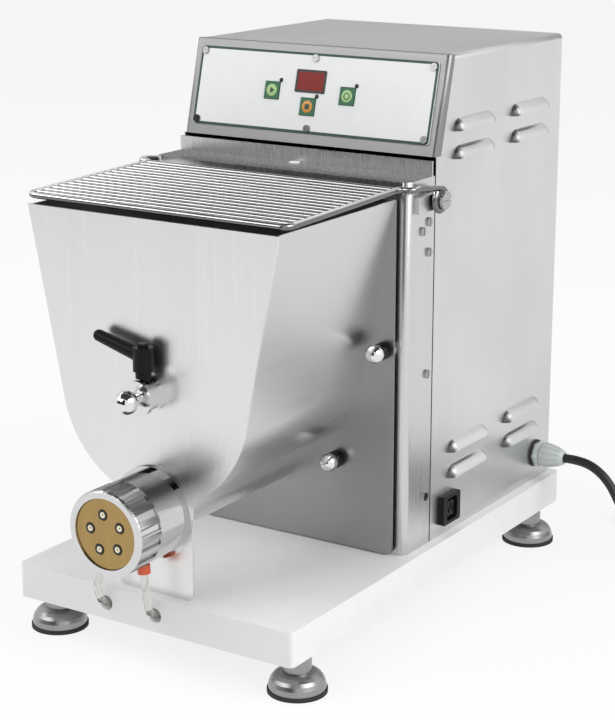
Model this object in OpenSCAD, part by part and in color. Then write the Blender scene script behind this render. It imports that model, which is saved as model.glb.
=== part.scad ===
// Electric pasta maker: a fresh pasta extruder on a footed board, with a wire-guarded hopper,
// a fluted ring nut over a brass die, water-cooled barrel, geared drive and leaning control panel.
// Millimetres, +Z up, -Y to the front. The origin is on the floor, under the middle of the box.

/* [Base board] */
// Width of the board
board_w = 260; // [240:1:300]
// Depth of the board
board_d = 442; // [420:1:500]
// Thickness of the board
board_t = 28; // [16:1:40]
// Radius of the upright corners of the board
board_corner = 5; // [1:0.5:12]

/* [Feet] */
// Height of the board's underside over the floor
foot_h = 32; // [26:1:50]
// Diameter of the foot's base
foot_d = 46; // [36:1:52]
// Diameter of the foot's neck
foot_neck_d = 22; // [18:1:26]
// Thickness of the rubber pad under each foot
foot_pad_t = 3; // [2:0.5:6]
// Diameter of the foot's threaded stud
foot_stud_d = 10; // [8:1:12]
// Length of stud inside the board
foot_stud_len = 18; // [8:1:24]
// Distance from the board's side to the foot's axis
foot_inset_x = 15; // [10:1:30]
// Distance from the board's front and rear edge to the foot's axis
foot_inset_y = 30; // [24:1:50]

/* [Housing] */
// Width of the housing
body_w = 242; // [232:1:250]
// Height of the whole machine
total_h = 454; // [440:1:480]
// Thickness of the housing's sheet
sheet_t = 1.5; // [1:0.1:2.5]
// Gap between the board's rear edge and the housing's rear
rear_margin = 6; // [2:1:20]
// Depth of the front column
column_d = 40; // [34:1:50]
// Radius of the front column's upright corners
column_corner = 6; // [3:0.5:10]
// Width of the seam between the front column and the cover
seam_gap = 1.5; // [0.5:0.1:3]
// Height of the shelf above the board
shelf_h = 303; // [296:1:308]
// Height of the upstand behind the shelf
upstand_h = 12; // [8:1:12]

/* [Louvres] */
// Length of one louvre
louvre_len = 66; // [50:1:76]
// Height of one louvre
louvre_h = 10; // [7:0.5:14]
// How far a louvre stands out
louvre_out = 7; // [4:0.5:9]
// Distance between louvre columns
louvre_pitch_y = 98; // [90:1:104]
// Distance between louvre rows
louvre_pitch_z = 22; // [18:1:28]
// Height of the lower group above the board
louvre_low = 47; // [42:1:60]
// Distance from the top of the machine down to the upper group
louvre_top = 82; // [74:1:90]

/* [Control panel] */
// Height of the leaning face
panel_rise = 77; // [74:1:80]
// How far the leaning face runs back
panel_run = 20; // [12:1:28]
// Distance from the panel plate's sides to the housing's sides
plate_margin = 8; // [4:1:14]
// Height of the white plate
plate_h = 65; // [60:1:68]
// Thickness of the white plate
plate_t = 1.5; // [1:0.1:2]
// Distance from the face's lower edge to the plate
plate_low = 8.5; // [7:0.5:9]
// Offset of the display and keys to the left
controls_left = 2; // [0:0.5:10]
// Width of a key
key_w = 14; // [12:0.5:16]
// Travel of a key
key_travel = 0.6; // [0.3:0.1:0.9]
// Height of a key's face over the plate
key_proud = 0.8; // [0.7:0.1:1]
// Distance between the outer keys
key_span = 72; // [60:1:90]
// Height of the outer keys above the plate's lower edge
key_high = 32.5; // [30:0.5:36]
// Height of the middle key above the plate's lower edge
key_low = 21.5; // [18:0.5:22]
// Width of the display window
display_w = 25; // [20:0.5:30]
// Height of the display window
display_h = 15; // [12:0.5:16]
// Height of the display above the plate's lower edge
display_up = 42; // [40:0.5:44]

/* [Hopper] */
// Distance from the board's front edge back to the front plate
hopper_setback = 9; // [6:1:16]
// Length of the hopper between the outer faces of its plates
hopper_len = 165; // [150:1:180]
// Height of the hopper's rim above the board
hopper_h = 290; // [280:1:296]
// Width of the trough at its rim
hopper_w = 224; // [210:1:228]
// Radius of the trough's round bottom
trough_r = 84; // [80:1:88]
// Thickness of the trough's sheet
trough_t = 1.5; // [1:0.1:2.5]
// Thickness of the end plates
end_t = 2; // [1.5:0.1:4]
// How far the end plates stand out past the trough
end_lip = 2; // [1:0.5:4]
// Gap between the back plate and the column
back_gap = 3; // [2:0.5:6]
// Width of the front plate's foot
plate_foot_w = 70; // [60:1:90]
// Radius of the corners of the front plate's foot
plate_foot_r = 7; // [3:0.5:12]

/* [Auger and barrel] */
// Height of the auger's axis above the board
auger_h = 66; // [62:1:70]
// Radius of the auger's thread
auger_r = 17.2; // [14:0.1:17.6]
// Radius of the auger's core
auger_core_r = 9; // [7:0.5:11]
// Pitch of the auger's thread
auger_pitch = 30; // [24:1:40]
// Inner radius of the auger channel and of the barrel
channel_r = 18.5; // [18:0.1:20]
// Diameter of the barrel's smooth jacket
barrel_d = 66; // [58:1:68]
// Diameter of the barrel's flange on the front plate
flange_d = 72; // [68:1:76]
// Thickness of that flange
flange_t = 3; // [2:0.5:5]
// Distance from the board's front edge forward to the ring nut's face
head_reach = 51; // [46:1:60]

/* [Ring nut and die] */
// Diameter of the ring nut
nut_d = 67; // [66:1:70]
// Length of the ring nut
nut_len = 25; // [22:1:28]
// Number of flutes round the ring nut
nut_flutes = 18; // [12:1:24]
// Width of a flute
flute_w = 5; // [3:0.5:6]
// Depth of a flute
flute_deep = 2; // [1:0.1:2.5]
// Visible diameter of the die
die_face_d = 55; // [50:1:56]
// Depth of the die's face behind the nut's face
die_recess = 1.5; // [0.5:0.1:3]
// Pitch of the nut's thread
nut_pitch = 4; // [2:0.5:5]
// Turns that free the nut
nut_turns = 3; // [2:0.5:3]
// Number of inserts in the die
insert_count = 5; // [3:1:6]
// Diameter of the circle through the inserts
insert_circle = 29; // [26:1:32]
// Diameter of an insert
insert_d = 8; // [6:0.5:9]

/* [Mixer] */
// Distance from the auger's axis up to the mixer's axis
mixer_rise = 93; // [90:1:96]
// Gap between the mixer's arms and the auger's thread
mixer_gap = 2; // [1:0.5:10]
// Diameter of the mixer's shaft
mixer_shaft_d = 20; // [16:1:24]
// Diameter of a mixing arm
arm_d = 9; // [6:0.5:12]
// Number of mixing arms
arm_count = 6; // [4:1:7]

/* [Front boss and lever] */
// Diameter of the boss
boss_d = 27; // [25:1:32]
// Length of the boss
boss_len = 19; // [18:1:24]
// Diameter of the pull pin
pin_d = 8; // [6:0.5:10]
// Travel of the pull pin
pin_travel = 35; // [20:1:40]
// Diameter of the pull pin's ball
ball_d = 18; // [14:1:20]
// Diameter of the lever's hub
hub_d = 15.5; // [12:0.5:16]
// Height of the lever's hub
hub_h = 18; // [14:1:22]
// Length of the lever's arm
lever_len = 42; // [30:1:60]

/* [Guard] */
// Diameter of the guard's frame rod
guard_rod_d = 5; // [4:0.5:6]
// Diameter of a guard bar
bar_d = 4; // [3:0.5:5]
// Number of guard bars
bar_count = 16; // [12:1:18]
// Distance that the guard stands out past the trough's rim
guard_overhang = 6; // [4:0.5:9]
// Height of the guard's front rod over the hopper's rim
guard_front_h = 6; // [4:0.5:9]
// Height of the guard's rear end over the hopper's rim
guard_rear_h = 9.5; // [8:0.5:11]
// Diameter of a pivot pin
pivot_d = 8; // [6:0.5:9]
// Diameter of a pivot pin's head
pivot_head_d = 14.5; // [12:0.5:16]
// Height of the pivots below the hopper's rim
pivot_drop = 4; // [2:0.5:8]

/* [Thumb knobs] */
// Diameter of a thumb knob's ball
knob_ball_d = 15; // [12:0.5:18]
// Diameter of a thumb knob's knurled collar
knob_collar_d = 14; // [12:0.5:16]
// Length of the collar
knob_collar_len = 8; // [5:0.5:10]
// Distance of the upper knobs from the middle
knob_upper_x = 103; // [98:1:104]
// Height of the upper knobs above the board
knob_upper_h = 170; // [160:1:190]
// Distance of the lower knobs from the middle
knob_lower_x = 61; // [54:1:80]
// Height of the lower knobs above the board
knob_lower_h = 74; // [60:1:78]

/* [Drive] */
// Teeth of the auger's pinion that drives the mixer
auger_pinion_teeth = 21; // [19:1:23]
// Teeth of the mixer's gear
mixer_gear_teeth = 41; // [39:1:43]
// Teeth of the auger's large gear
auger_gear_teeth = 42; // [40:1:42]
// Teeth of the layshaft's pinion
lay_pinion_teeth = 14; // [14:1:16]
// Teeth of the layshaft's gear
lay_gear_teeth = 56; // [50:1:56]
// Teeth of the motor's pinion
motor_pinion_teeth = 14; // [14:1:16]
// Module of the auger's gear stage
stage_two_module = 2; // [2:0.1:2.1]
// Module of the motor's gear stage
stage_one_module = 1.5; // [1.4:0.1:1.5]
// Play between the flanks of meshing teeth
backlash = 0.5; // [0.3:0.1:0.7]
// Diameter of the auger's drive shaft
drive_shaft_d = 20; // [18:1:20]
// Diameter of the layshaft
lay_shaft_d = 12; // [10:1:12]
// Thickness of a gear plate
gear_plate_t = 8; // [6:1:8]
// Diameter of the motor
motor_d = 106; // [90:1:110]
// Length of the motor
motor_len = 120; // [100:1:130]

/* [Cord and inlet] */
// Diameter of the mains cord
cord_d = 8; // [7:0.5:9]
// Distance from the housing's rear to the cord's gland
gland_back = 26.5; // [22:0.5:40]
// Height of the gland above the board
gland_h = 24; // [18:1:30]
// Length of the gland's tapered nut
gland_nut_len = 24; // [20:1:40]
// Width of the accessory socket
socket_w = 28; // [24:1:32]
// Height of the accessory socket
socket_h = 25; // [22:1:30]
// How far the socket stands out
socket_out = 5.5; // [3:0.5:7]

/* [Fits] */
// Radial play of a running fit
run_play = 0.06; // [0.03:0.01:0.09]
// Gap between pieces that move past each other
move_gap = 0.4; // [0.3:0.1:0.6]
// Thickness of the cooling hoses
hose_d = 6; // [5:0.5:7]

/* [Hidden] */
$fn = 64;
eps = 0.01;

// Places along the depth, measured back from the board's front edge
y_front = (head_reach - board_d) / 2;
y_rear = y_front + board_d;
y_plate = y_front + hopper_setback;
y_trough = y_plate + end_t;
y_back = y_plate + hopper_len - end_t;
y_column = y_back + end_t + back_gap;
y_seam = y_column + column_d;
y_cover = y_seam + seam_gap;
y_body_rear = y_rear - rear_margin;
y_nut = y_front - head_reach;
y_nut_rear = y_nut + nut_len;

// Heights
z_board = foot_h + board_t;
z_rim = z_board + hopper_h;
z_shelf = z_board + shelf_h;
z_panel = total_h - panel_rise;
z_auger = z_board + auger_h;
z_mixer = z_auger + mixer_rise;
body_half = body_w / 2;
y_housing_mid = (y_cover + y_body_rear) / 2;

// Panel face: lean, length along the slope, and the depth of its folded rim
panel_lean = atan(panel_run / panel_rise);
panel_len = norm([panel_rise, panel_run]);
panel_rim = 7;
face_corner = panel_rim / 2;
plate_w = body_w - 2 * plate_margin;
plate_mid = plate_low + plate_h / 2;
face_cut = 8;
circuit_back = 12;
circuit_t = 1.6;
switch_h = 4;

// Feet
foot_x = board_w / 2 - foot_inset_x;
foot_y_front = y_front + foot_inset_y;
foot_y_rear = y_rear - foot_inset_y;

// Drive: the gear plates, the gear layers between them and the shafts' places
gear_space = 56;
y_gear_front = y_column + sheet_t;
y_gear_in = y_gear_front + gear_plate_t;
y_gear_rear = y_gear_in + gear_space;
y_motor = y_gear_rear + gear_plate_t;
layer_a = [3, 18];
layer_b = [24, 10];
layer_c = [38, 8];
mixer_module = 2 * mixer_rise / (auger_pinion_teeth + mixer_gear_teeth);
lay_dist = stage_two_module * (auger_gear_teeth + lay_pinion_teeth) / 2;
lay_angle = -8;
x_lay = lay_dist * cos(lay_angle);
z_lay = z_auger + lay_dist * sin(lay_angle);
motor_dist = stage_one_module * (lay_gear_teeth + motor_pinion_teeth) / 2;
motor_angle = 120;
x_motor = x_lay + motor_dist * cos(motor_angle);
z_motor = z_lay + motor_dist * sin(motor_angle);
shaft_r = drive_shaft_d / 2;
mixer_shaft_r = mixer_shaft_d / 2;
lay_r = lay_shaft_d / 2;
bearing_wall = 11;
tang = 11;
tang_len = 12;

// Head: the die sits between the nut's lip and the barrel's end
lip_t = 3;
nut_wall = 5;
nut_chamfer = 1.5;
die_play = 0.1;
die_t = 9;
die_r = nut_d / 2 - nut_wall;
y_die_face = y_nut + die_recess;
y_die_shoulder = y_nut + lip_t + die_play;
y_barrel_end = y_die_shoulder + die_t;
thread_r = die_r;
jacket_r = barrel_d / 2;
hose_hole_r = 6;
hose_hole_len = 36;
hose_z = z_board - 14.5;

// Guard: rods outside the hopper, and eyes outside the hinge blocks
guard_x = hopper_w / 2 + guard_overhang;
block_t = 5;
eye_gap = 1;
x_eye = body_half + block_t + eye_gap + guard_rod_d / 2;
block_len = 26;
block_h = 13;
block_setback = 7;
block_drop = 8;
block_boss_out = 0.6;
block_boss_wall = 2;
z_pivot = z_rim - pivot_drop;
y_pivot = y_seam - 6;
eye_r = 8.5;
y_guard_front = y_plate + 5;
y_guard_rear = y_column - 10;
z_guard_front = z_rim + guard_front_h;
z_guard_rear = z_rim + guard_rear_h;
guard_slope = (z_guard_rear - z_guard_front) / (y_guard_rear - y_guard_front);

// Front boss
y_boss = y_plate - boss_len;
y_stud = y_plate - boss_len / 2;
boss_r = boss_d / 2;
pin_r = pin_d / 2;
z_hub = z_mixer + boss_r + 6;

// Inlet and cord
y_gland = y_body_rear - gland_back;
z_gland = z_board + gland_h;
gland_flange_t = 5;
x_gland_end = body_half + gland_flange_t + gland_nut_len;
cord_r = cord_d / 2;
cord_route = [[150, 214, 84], [162, 214, 84], [174, 214, 82], [184, 214, 77], [193, 214, 69],
    [200, 214, 59], [206, 214, 48], [212, 214, 36], [219, 214, 25], [228, 214, 15],
    [239, 214, 8], [251, 214, 5], [266, 214, 4], [284, 214, 4]];
tail_route = [[284, 306, 20], [264, 306, 20], [244, 306, 19], [226, 306, 18]];
coil_mid_r = 42;
coil_rings = 2;
coil_layers = 3;
coil_centre = [284, 260];

// ---------------------------------------------------------------- helpers

// A drawing in x and z, extruded from y to y + t
module plate_y(y, t) translate([0, y + t, 0]) rotate([90, 0, 0]) linear_extrude(t) children();

// A drawing in y and z, extruded from x to x + t
module plate_x(x, t) translate([x, 0, 0]) rotate([90, 0, 90]) linear_extrude(t) children();

// A rod along +Y from [x, y, z]
module rod_y(at, len, r) translate(at) rotate([-90, 0, 0]) cylinder(h = len, r = r);

// A rod along +X from [x, y, z]
module rod_x(at, len, r) translate(at) rotate([0, 90, 0]) cylinder(h = len, r = r);

// A bent wire that starts along +Z; each step is [length, bend radius, bend angle, roll before the bend]
module wire(steps, r, i = 0) {
    s = steps[i];
    if (s[0] > 0) cylinder(h = s[0], r = r);
    translate([0, 0, s[0]]) rotate([0, 0, s[3]]) translate([s[1], 0, 0]) {
        mirror([1, 0, 0]) rotate([90, 0, 0])
            rotate_extrude(angle = s[2]) translate([s[1], 0]) circle(r = r);
        if (i < len(steps) - 1) rotate([0, s[2], 0]) translate([-s[1], 0, 0]) wire(steps, r, i + 1);
    }
}

module both_sides() {
    children();
    mirror([1, 0, 0]) children();
}

// A centred rectangle with round corners
module round_rect(w, h, r) {
    square([w - 2 * r, h], center = true);
    square([w, h - 2 * r], center = true);
    for (x = [-1, 1], y = [-1, 1]) translate([x * (w / 2 - r), y * (h / 2 - r)]) circle(r = r);
}

// Involute of a circle: the angle gained at a pressure angle
function involute(a) = tan(a) * 180 / PI - a;

pressure_angle = 25;
addendum = 0.8;
dedendum = 1.05;
flank_steps = 2;

// One flank's points, as radius and half angle, from root to tip
function flank(m, teeth) = let (
    pitch_r = m * teeth / 2,
    base_r = pitch_r * cos(pressure_angle),
    low_r = max(base_r, pitch_r - dedendum * m),
    tip_r = pitch_r + addendum * m,
    half = 90 / teeth - backlash / 4 / pitch_r * 180 / PI)
    [for (i = [0:flank_steps])
        let (r = low_r + (tip_r - low_r) * i / flank_steps)
        [r, half + involute(pressure_angle) - involute(acos(min(1, base_r / r)))]];

function polar(r, a) = [r * cos(a), r * sin(a)];

// A spur gear's outline with a tooth on the x axis
function gear_points(m, teeth) = let (
    root_r = m * teeth / 2 - dedendum * m,
    side = flank(m, teeth))
    [for (k = [0:teeth - 1])
        let (mid = k * 360 / teeth)
        each concat(
            [polar(root_r, mid - side[0][1])],
            [for (p = side) polar(p[0], mid - p[1])],
            [for (i = [flank_steps:-1:0]) polar(side[i][0], mid + side[i][1])],
            [polar(root_r, mid + side[0][1])])];

// A spur gear on an axis along Y; turn is the angle of one tooth from +X towards +Z
module gear(x, y, z, width, m, teeth, turn)
    translate([x, y + width, z])
        rotate([90, 0, 0])
            linear_extrude(width)
                rotate(turn)
                    polygon(gear_points(m, teeth));

// A tube swept along points, as one polyhedron
function unit(v) = v / norm(v);
function tangent(p, i) = unit(p[min(i + 1, len(p) - 1)] - p[max(i - 1, 0)]);
function side_of(t, last) = unit(cross(cross(t, last), t));
function sides(p, i) = i == 0
    ? side_of(tangent(p, 0), abs(tangent(p, 0)[2]) > 0.9 ? [1, 0, 0] : [0, 0, 1])
    : side_of(tangent(p, i), sides(p, i - 1));

module sweep(p, r, n = 8) {
    rings = [for (i = [0:len(p) - 1])
        let (t = tangent(p, i), u = sides(p, i), w = cross(t, u))
        for (k = [0:n - 1]) p[i] + r * (cos(360 * k / n) * u + sin(360 * k / n) * w)];
    last = (len(p) - 1) * n;
    polyhedron(
        points = rings,
        faces = concat(
            [[for (k = [0:n - 1]) k]],
            [for (i = [0:len(p) - 2], k = [0:n - 1])
                [i * n + k, (i + 1) * n + k, (i + 1) * n + (k + 1) % n, i * n + (k + 1) % n]],
            [[for (k = [n - 1:-1:0]) last + k]]));
}

// ---------------------------------------------------------------- board and feet

module base_board() color("white") difference() {
    translate([0, (y_front + y_rear) / 2, foot_h])
        linear_extrude(board_t)
            round_rect(board_w, board_d, board_corner);
    for (x = [-foot_x, foot_x], y = [foot_y_front, foot_y_rear])
        translate([x, y, foot_h - eps])
            cylinder(h = foot_stud_len + 1, r = foot_stud_d / 2 + run_play);
    for (x = [hose_right_x, hose_left_x]) rod_y([x, y_front - eps, hose_z], hose_hole_len, hose_hole_r);
}

foot_rim_h = 1.5;
foot_bell_h = 12.5;

// The foot's outline: a bell, a plain neck and a stud
module foot(x, y) color("silver") translate([x, y, 0]) {
    base_r = foot_d / 2 - 1;
    neck_r = foot_neck_d / 2;
    z0 = foot_pad_t + foot_rim_h;
    rotate_extrude() polygon(concat(
        [[0, foot_pad_t], [base_r, foot_pad_t]],
        [for (a = [0:15:90])
            [neck_r + (base_r - neck_r) * cos(a), z0 + foot_bell_h * sin(a)]],
        [[neck_r, foot_h - move_gap], [foot_stud_d / 2, foot_h - move_gap],
         [foot_stud_d / 2, foot_h + foot_stud_len], [0, foot_h + foot_stud_len]]));
}

module foot_pad(x, y) color("black") translate([x, y, 0]) cylinder(h = foot_pad_t, r = foot_d / 2);

// ---------------------------------------------------------------- front column

module column_plan(t) {
    w = body_half - t;
    r = column_corner - t;
    translate([-w, y_column + t + r]) square([2 * w, column_d - t - r]);
    translate([-w + r, y_column + t]) square([2 * (w - r), r + eps]);
    for (x = [-1, 1]) translate([x * (w - r), y_column + t + r]) circle(r = r);
}

side_screws = [[-8.5, 268], [-18.5, 262], [-8.5, 244], [-8.5, 145], [-8.5, 42]];
knob_places = [[-knob_upper_x, knob_upper_h], [knob_upper_x, knob_upper_h],
    [-knob_lower_x, knob_lower_h], [knob_lower_x, knob_lower_h]];
screw_r = 2;
knob_stud_r = 3;

module front_frame() color("lightgray") difference() {
    union() {
        translate([0, 0, z_board]) difference() {
            linear_extrude(shelf_h) column_plan(0);
            translate([0, 0, -eps]) linear_extrude(shelf_h - sheet_t) column_plan(sheet_t);
            translate([-body_half + sheet_t, y_seam - eps, -eps])
                cube([body_w - 2 * sheet_t, 1, shelf_h - sheet_t]);
        }
        translate([-body_half, y_seam - 3 - sheet_t, z_shelf - eps]) cube([body_w, sheet_t, upstand_h]);
        for (k = knob_places)
            rod_y([k[0], y_back + end_t, z_board + k[1]], back_gap + eps, knob_stud_r + 5);
    }
    for (k = knob_places)
        rod_y([k[0], y_back, z_board + k[1]], 12, knob_stud_r + run_play);
    rod_y([0, y_column - 1, z_auger], 4, shaft_r + 3);
    rod_y([0, y_column - 1, z_mixer], 4, mixer_shaft_r + 3);
    for (s = side_screws)
        rod_x([-body_w, y_seam + s[0], z_board + s[1]], 2 * body_w, screw_r);
    rod_x([-body_w, y_pivot, z_pivot], 2 * body_w, pivot_d / 2);
    translate([shelf_plug_x, shelf_plug_y, z_shelf - 5]) cylinder(h = 10, r = shelf_plug_r);
}

shelf_plug_x = -3;
shelf_plug_y = y_seam - 10;
shelf_plug_r = 3;

module shelf_plug() color("white") translate([shelf_plug_x, shelf_plug_y, z_shelf]) {
    cylinder(h = 1, r = shelf_plug_r + 1.5);
    translate([0, 0, -sheet_t - 1]) cylinder(h = sheet_t + 1 + eps, r = shelf_plug_r);
}

// ---------------------------------------------------------------- cover and rear panel

flange_w = 14;
strip_weld = 6;
cover_corner = 4;

slope_gap = 0.3;

// The side view of the space that the cover wraps. The inner one, with a wall t at the top,
// starts over_cut before the outer one, so that the cover stays open in front.
module cover_side(t, front, rear) {
    over_cut = t > 0 ? 1 : 0;
    slope_front = y_cover + panel_rim / cos(panel_lean) + slope_gap - over_cut;
    polygon([[front, z_board - over_cut], [front, z_panel],
        [slope_front, z_panel], [slope_front + panel_run, total_h - t],
        [rear, total_h - t], [rear, z_board - over_cut]]);
}

module cover_front(t) {
    w = body_half - t;
    r = cover_corner - t / 2;
    translate([-w, z_board - 1]) square([2 * w, total_h - z_board + 1 - t - r]);
    translate([-w + r, z_board]) square([2 * (w - r), total_h - z_board - t]);
    for (x = [-1, 1]) translate([x * (w - r), total_h - t - r]) circle(r = r);
}

// A pressed louvre: a thin slice of a long capsule, open below
louvre_in = (louvre_h * louvre_h - louvre_out * louvre_out) / (2 * louvre_out);
louvre_r = louvre_in + louvre_out;
louvre_wall = 1;

function louvre_places() = [for (group = [z_board + louvre_low, total_h - louvre_top],
    row = [0, 1], column = [-0.5, 0.5])
    [y_housing_mid + column * louvre_pitch_y, group + row * louvre_pitch_z]];

module louvre_shell(shrink) for (p = louvre_places()) intersection() {
    translate([body_half - louvre_in, p[0], p[1]]) {
        rod_y([0, louvre_h - louvre_len / 2, 0], louvre_len - 2 * louvre_h, louvre_r - shrink);
        for (y = [-1, 1]) translate([0, y * (louvre_len / 2 - louvre_h), 0]) sphere(r = louvre_r - shrink);
    }
    translate([body_half - sheet_t - (shrink > 0 ? 1 : 0), p[0] - louvre_len, p[1]])
        cube([4 * louvre_out, 2 * louvre_len, 3 * louvre_h]);
}

module side_cover() color("gainsboro") {
    difference() {
        union() {
            difference() {
                intersection() {
                    plate_x(-body_half, body_w) cover_side(0, y_cover, y_body_rear);
                    plate_y(y_cover, y_body_rear - y_cover) cover_front(0);
                }
                intersection() {
                    plate_x(-body_half, body_w) cover_side(sheet_t, y_cover - 1, y_body_rear + 1);
                    plate_y(y_cover - 1, y_body_rear - y_cover + 2) cover_front(sheet_t);
                }
            }
            both_sides() {
                translate([body_half - flange_w, y_cover + 8, z_board])
                    cube([flange_w, y_body_rear - y_cover - 8 - 2 * sheet_t, sheet_t]);
                translate([body_half - 2 * sheet_t, y_seam - flange_w, z_board])
                    cube([sheet_t, flange_w + seam_gap + strip_weld, z_pivot - 12 - z_board]);
                translate([body_half - 2 * sheet_t, y_cover, z_board])
                    cube([sheet_t + eps, strip_weld, z_pivot - 12 - z_board]);
                translate([body_half - flange_w, y_body_rear - 2 * sheet_t, z_board])
                    cube([flange_w, sheet_t, total_h - z_board - 4]);
            }
        }
        both_sides() louvre_shell(louvre_wall);
        for (s = side_screws)
            rod_x([-body_w, y_seam + s[0], z_board + s[1]], 2 * body_w, screw_r);
        for (s = rear_screws) rod_y([s[0], y_body_rear - 5, s[1]], 10, screw_r);
        rod_x([0, y_gland, z_gland], body_w, gland_thread_r);
        translate([0, y_socket - socket_w / 2 + socket_edge, z_socket - socket_h / 2 + socket_edge])
            cube([body_w, socket_w - 2 * socket_edge, socket_h - 2 * socket_edge]);
    }
    both_sides() difference() {
        louvre_shell(0);
        louvre_shell(louvre_wall);
    }
}

rear_screws = [for (x = [-1, 1], z = [z_board + 30, (z_board + total_h) / 2, total_h - 30])
    [x * (body_half - 8), z]];

module rear_panel() color("gainsboro") difference() {
    plate_y(y_body_rear - sheet_t, sheet_t) cover_front(sheet_t + eps);
    for (s = rear_screws) rod_y([s[0], y_body_rear - 5, s[1]], 10, screw_r);
    translate([-body_half, y_body_rear - 5, z_board - 5]) cube([body_w, 10, 5]);
}

// A slotted pan-head screw along +Z, its head's seat at the origin
module screw(head_r, head_h, shank_r, shank_len) {
    difference() {
        cylinder(h = head_h, r = head_r);
        translate([-head_r, -0.5, head_h / 2]) cube([2 * head_r, 1, head_h]);
    }
    translate([0, 0, -shank_len]) cylinder(h = shank_len + eps, r = shank_r);
}

module cover_screws() color("silver") {
    both_sides() for (s = side_screws)
        translate([body_half, y_seam + s[0], z_board + s[1]])
            rotate([0, 90, 0]) screw(3.6, 1.6, screw_r, 4.5);
    for (s = rear_screws)
        translate([s[0], y_body_rear, s[1]]) rotate([-90, 0, 0]) screw(3.6, 1.6, screw_r, 4.5);
}

// ---------------------------------------------------------------- control panel

// The leaning face: x across, y up the slope, z out of the face
module on_face() translate([0, y_cover, z_panel]) rotate([90 - panel_lean, 0, 0]) children();

module face_block(t) on_face() translate([0, panel_len / 2, 0]) rotate([90, 0, 0])
    linear_extrude(2 * panel_len, center = true) {
    w = body_half - t;
    r = face_corner - t;
    translate([-w, -panel_rim - (t > 0 ? 1 : 0)]) square([2 * w, panel_rim + (t > 0 ? 1 : 0) - t - r]);
    translate([-w + r, -panel_rim]) square([2 * (w - r), panel_rim - t]);
    for (x = [-1, 1]) translate([x * (w - r), -t - r]) circle(r = r);
}

module face_height(t) translate([-body_half, y_cover - panel_len, z_panel + t])
    cube([body_w, 2 * panel_len, panel_rise - 2 * t]);

key_places = [[-controls_left - key_span / 2, key_high], [-controls_left, key_low],
    [-controls_left + key_span / 2, key_high]];
display_place = [-controls_left, display_up];

// Cuts through the face for the keys, and for the display less a ledge that carries its window
module face_holes(ledge) {
    for (k = key_places)
        translate([k[0], plate_low + k[1], 0])
            cube([key_w + 2 * move_gap, key_w + 2 * move_gap, face_cut], center = true);
    translate([display_place[0], plate_low + display_place[1], 0])
        cube([display_w - 2 * ledge, display_h - 2 * ledge, face_cut], center = true);
}

panel_screw_places = [for (x = [-1, 0, 1], v = [4, plate_h - 4])
    [x * (plate_w / 2 - 4), plate_low + v]];
panel_screw_r = 1.5;

module panel_housing() color("darkgray") difference() {
    intersection() {
        face_block(0);
        face_height(0);
    }
    intersection() {
        face_block(sheet_t);
        face_height(sheet_t);
    }
    on_face() {
        face_holes(1.5);
        for (s = panel_screw_places)
            translate([s[0], s[1], -5]) cylinder(h = 10, r = panel_screw_r);
    }
}

module panel_plate() color("whitesmoke") on_face() difference() {
    translate([0, plate_mid, 0]) linear_extrude(plate_t) round_rect(plate_w, plate_h, 2);
    face_holes(0);
    for (s = panel_screw_places)
        translate([s[0], s[1], -5]) cylinder(h = 10, r = panel_screw_r);
}

module panel_screws() color("silver") on_face() for (s = panel_screw_places)
    translate([s[0], s[1], plate_t]) screw(3, 1.2, panel_screw_r, plate_t + sheet_t + 2);

module display_window() color("firebrick") on_face()
    translate([display_place[0], plate_low + display_place[1], plate_t / 2 + 0.2])
        cube([display_w, display_h, plate_t + 0.4], center = true);

circuit_w = key_span + key_w + 16;
circuit_h = 46;
circuit_up = 32;
switch_w = 6;
post_inset = 4;
post_r = 2.5;

module display_board() color("darkgreen") on_face() {
    translate([-controls_left, plate_low + circuit_up, circuit_t / 2 - circuit_back])
        cube([circuit_w, circuit_h, circuit_t], center = true);
    for (k = key_places)
        translate([k[0], plate_low + k[1], -circuit_back + circuit_t + switch_h / 2 - eps])
            cube([switch_w, switch_w, switch_h], center = true);
    for (x = [-1, 1], y = [-1, 1])
        translate([-controls_left + x * (circuit_w / 2 - post_inset),
            plate_low + circuit_up + y * (circuit_h / 2 - post_inset), -circuit_back + circuit_t - eps])
            cylinder(h = circuit_back - circuit_t - sheet_t + eps, r = post_r);
}

key_shoulder = 2;
key_shoulder_t = 1.5;
key_stem_r = 2;

module key(place) color("seagreen") on_face() translate([place[0], plate_low + place[1], 0]) {
    shoulder = -sheet_t - move_gap;
    stem_end = -circuit_back + circuit_t + switch_h + key_travel + 0.2;
    translate([0, 0, (plate_t + key_proud + shoulder) / 2])
        cube([key_w, key_w, plate_t + key_proud - shoulder], center = true);
    translate([0, 0, shoulder - key_shoulder_t / 2])
        cube([key_w + 2 * key_shoulder, key_w + 2 * key_shoulder, key_shoulder_t], center = true);
    translate([0, 0, stem_end]) cylinder(h = shoulder - stem_end - key_shoulder_t / 2, r = key_stem_r);
}

module key_start() key(key_places[0]);
module key_stop() key(key_places[1]);
module key_extrude() key(key_places[2]);

// ---------------------------------------------------------------- inlet, cord and electrics

y_socket = y_seam + 29;
z_socket = z_board + 22;
gland_thread_r = 8;
gland_r = 11;

socket_edge = 3;
socket_back = 10;
well = [17, 19, 3];
contact_block = [11, 13, 2];
contact_sunk = 1.5;
contact_slot = [1.8, 5];
contact_places = [[-3.2, -1.5], [0, 2], [3.2, -1.5]];

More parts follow.
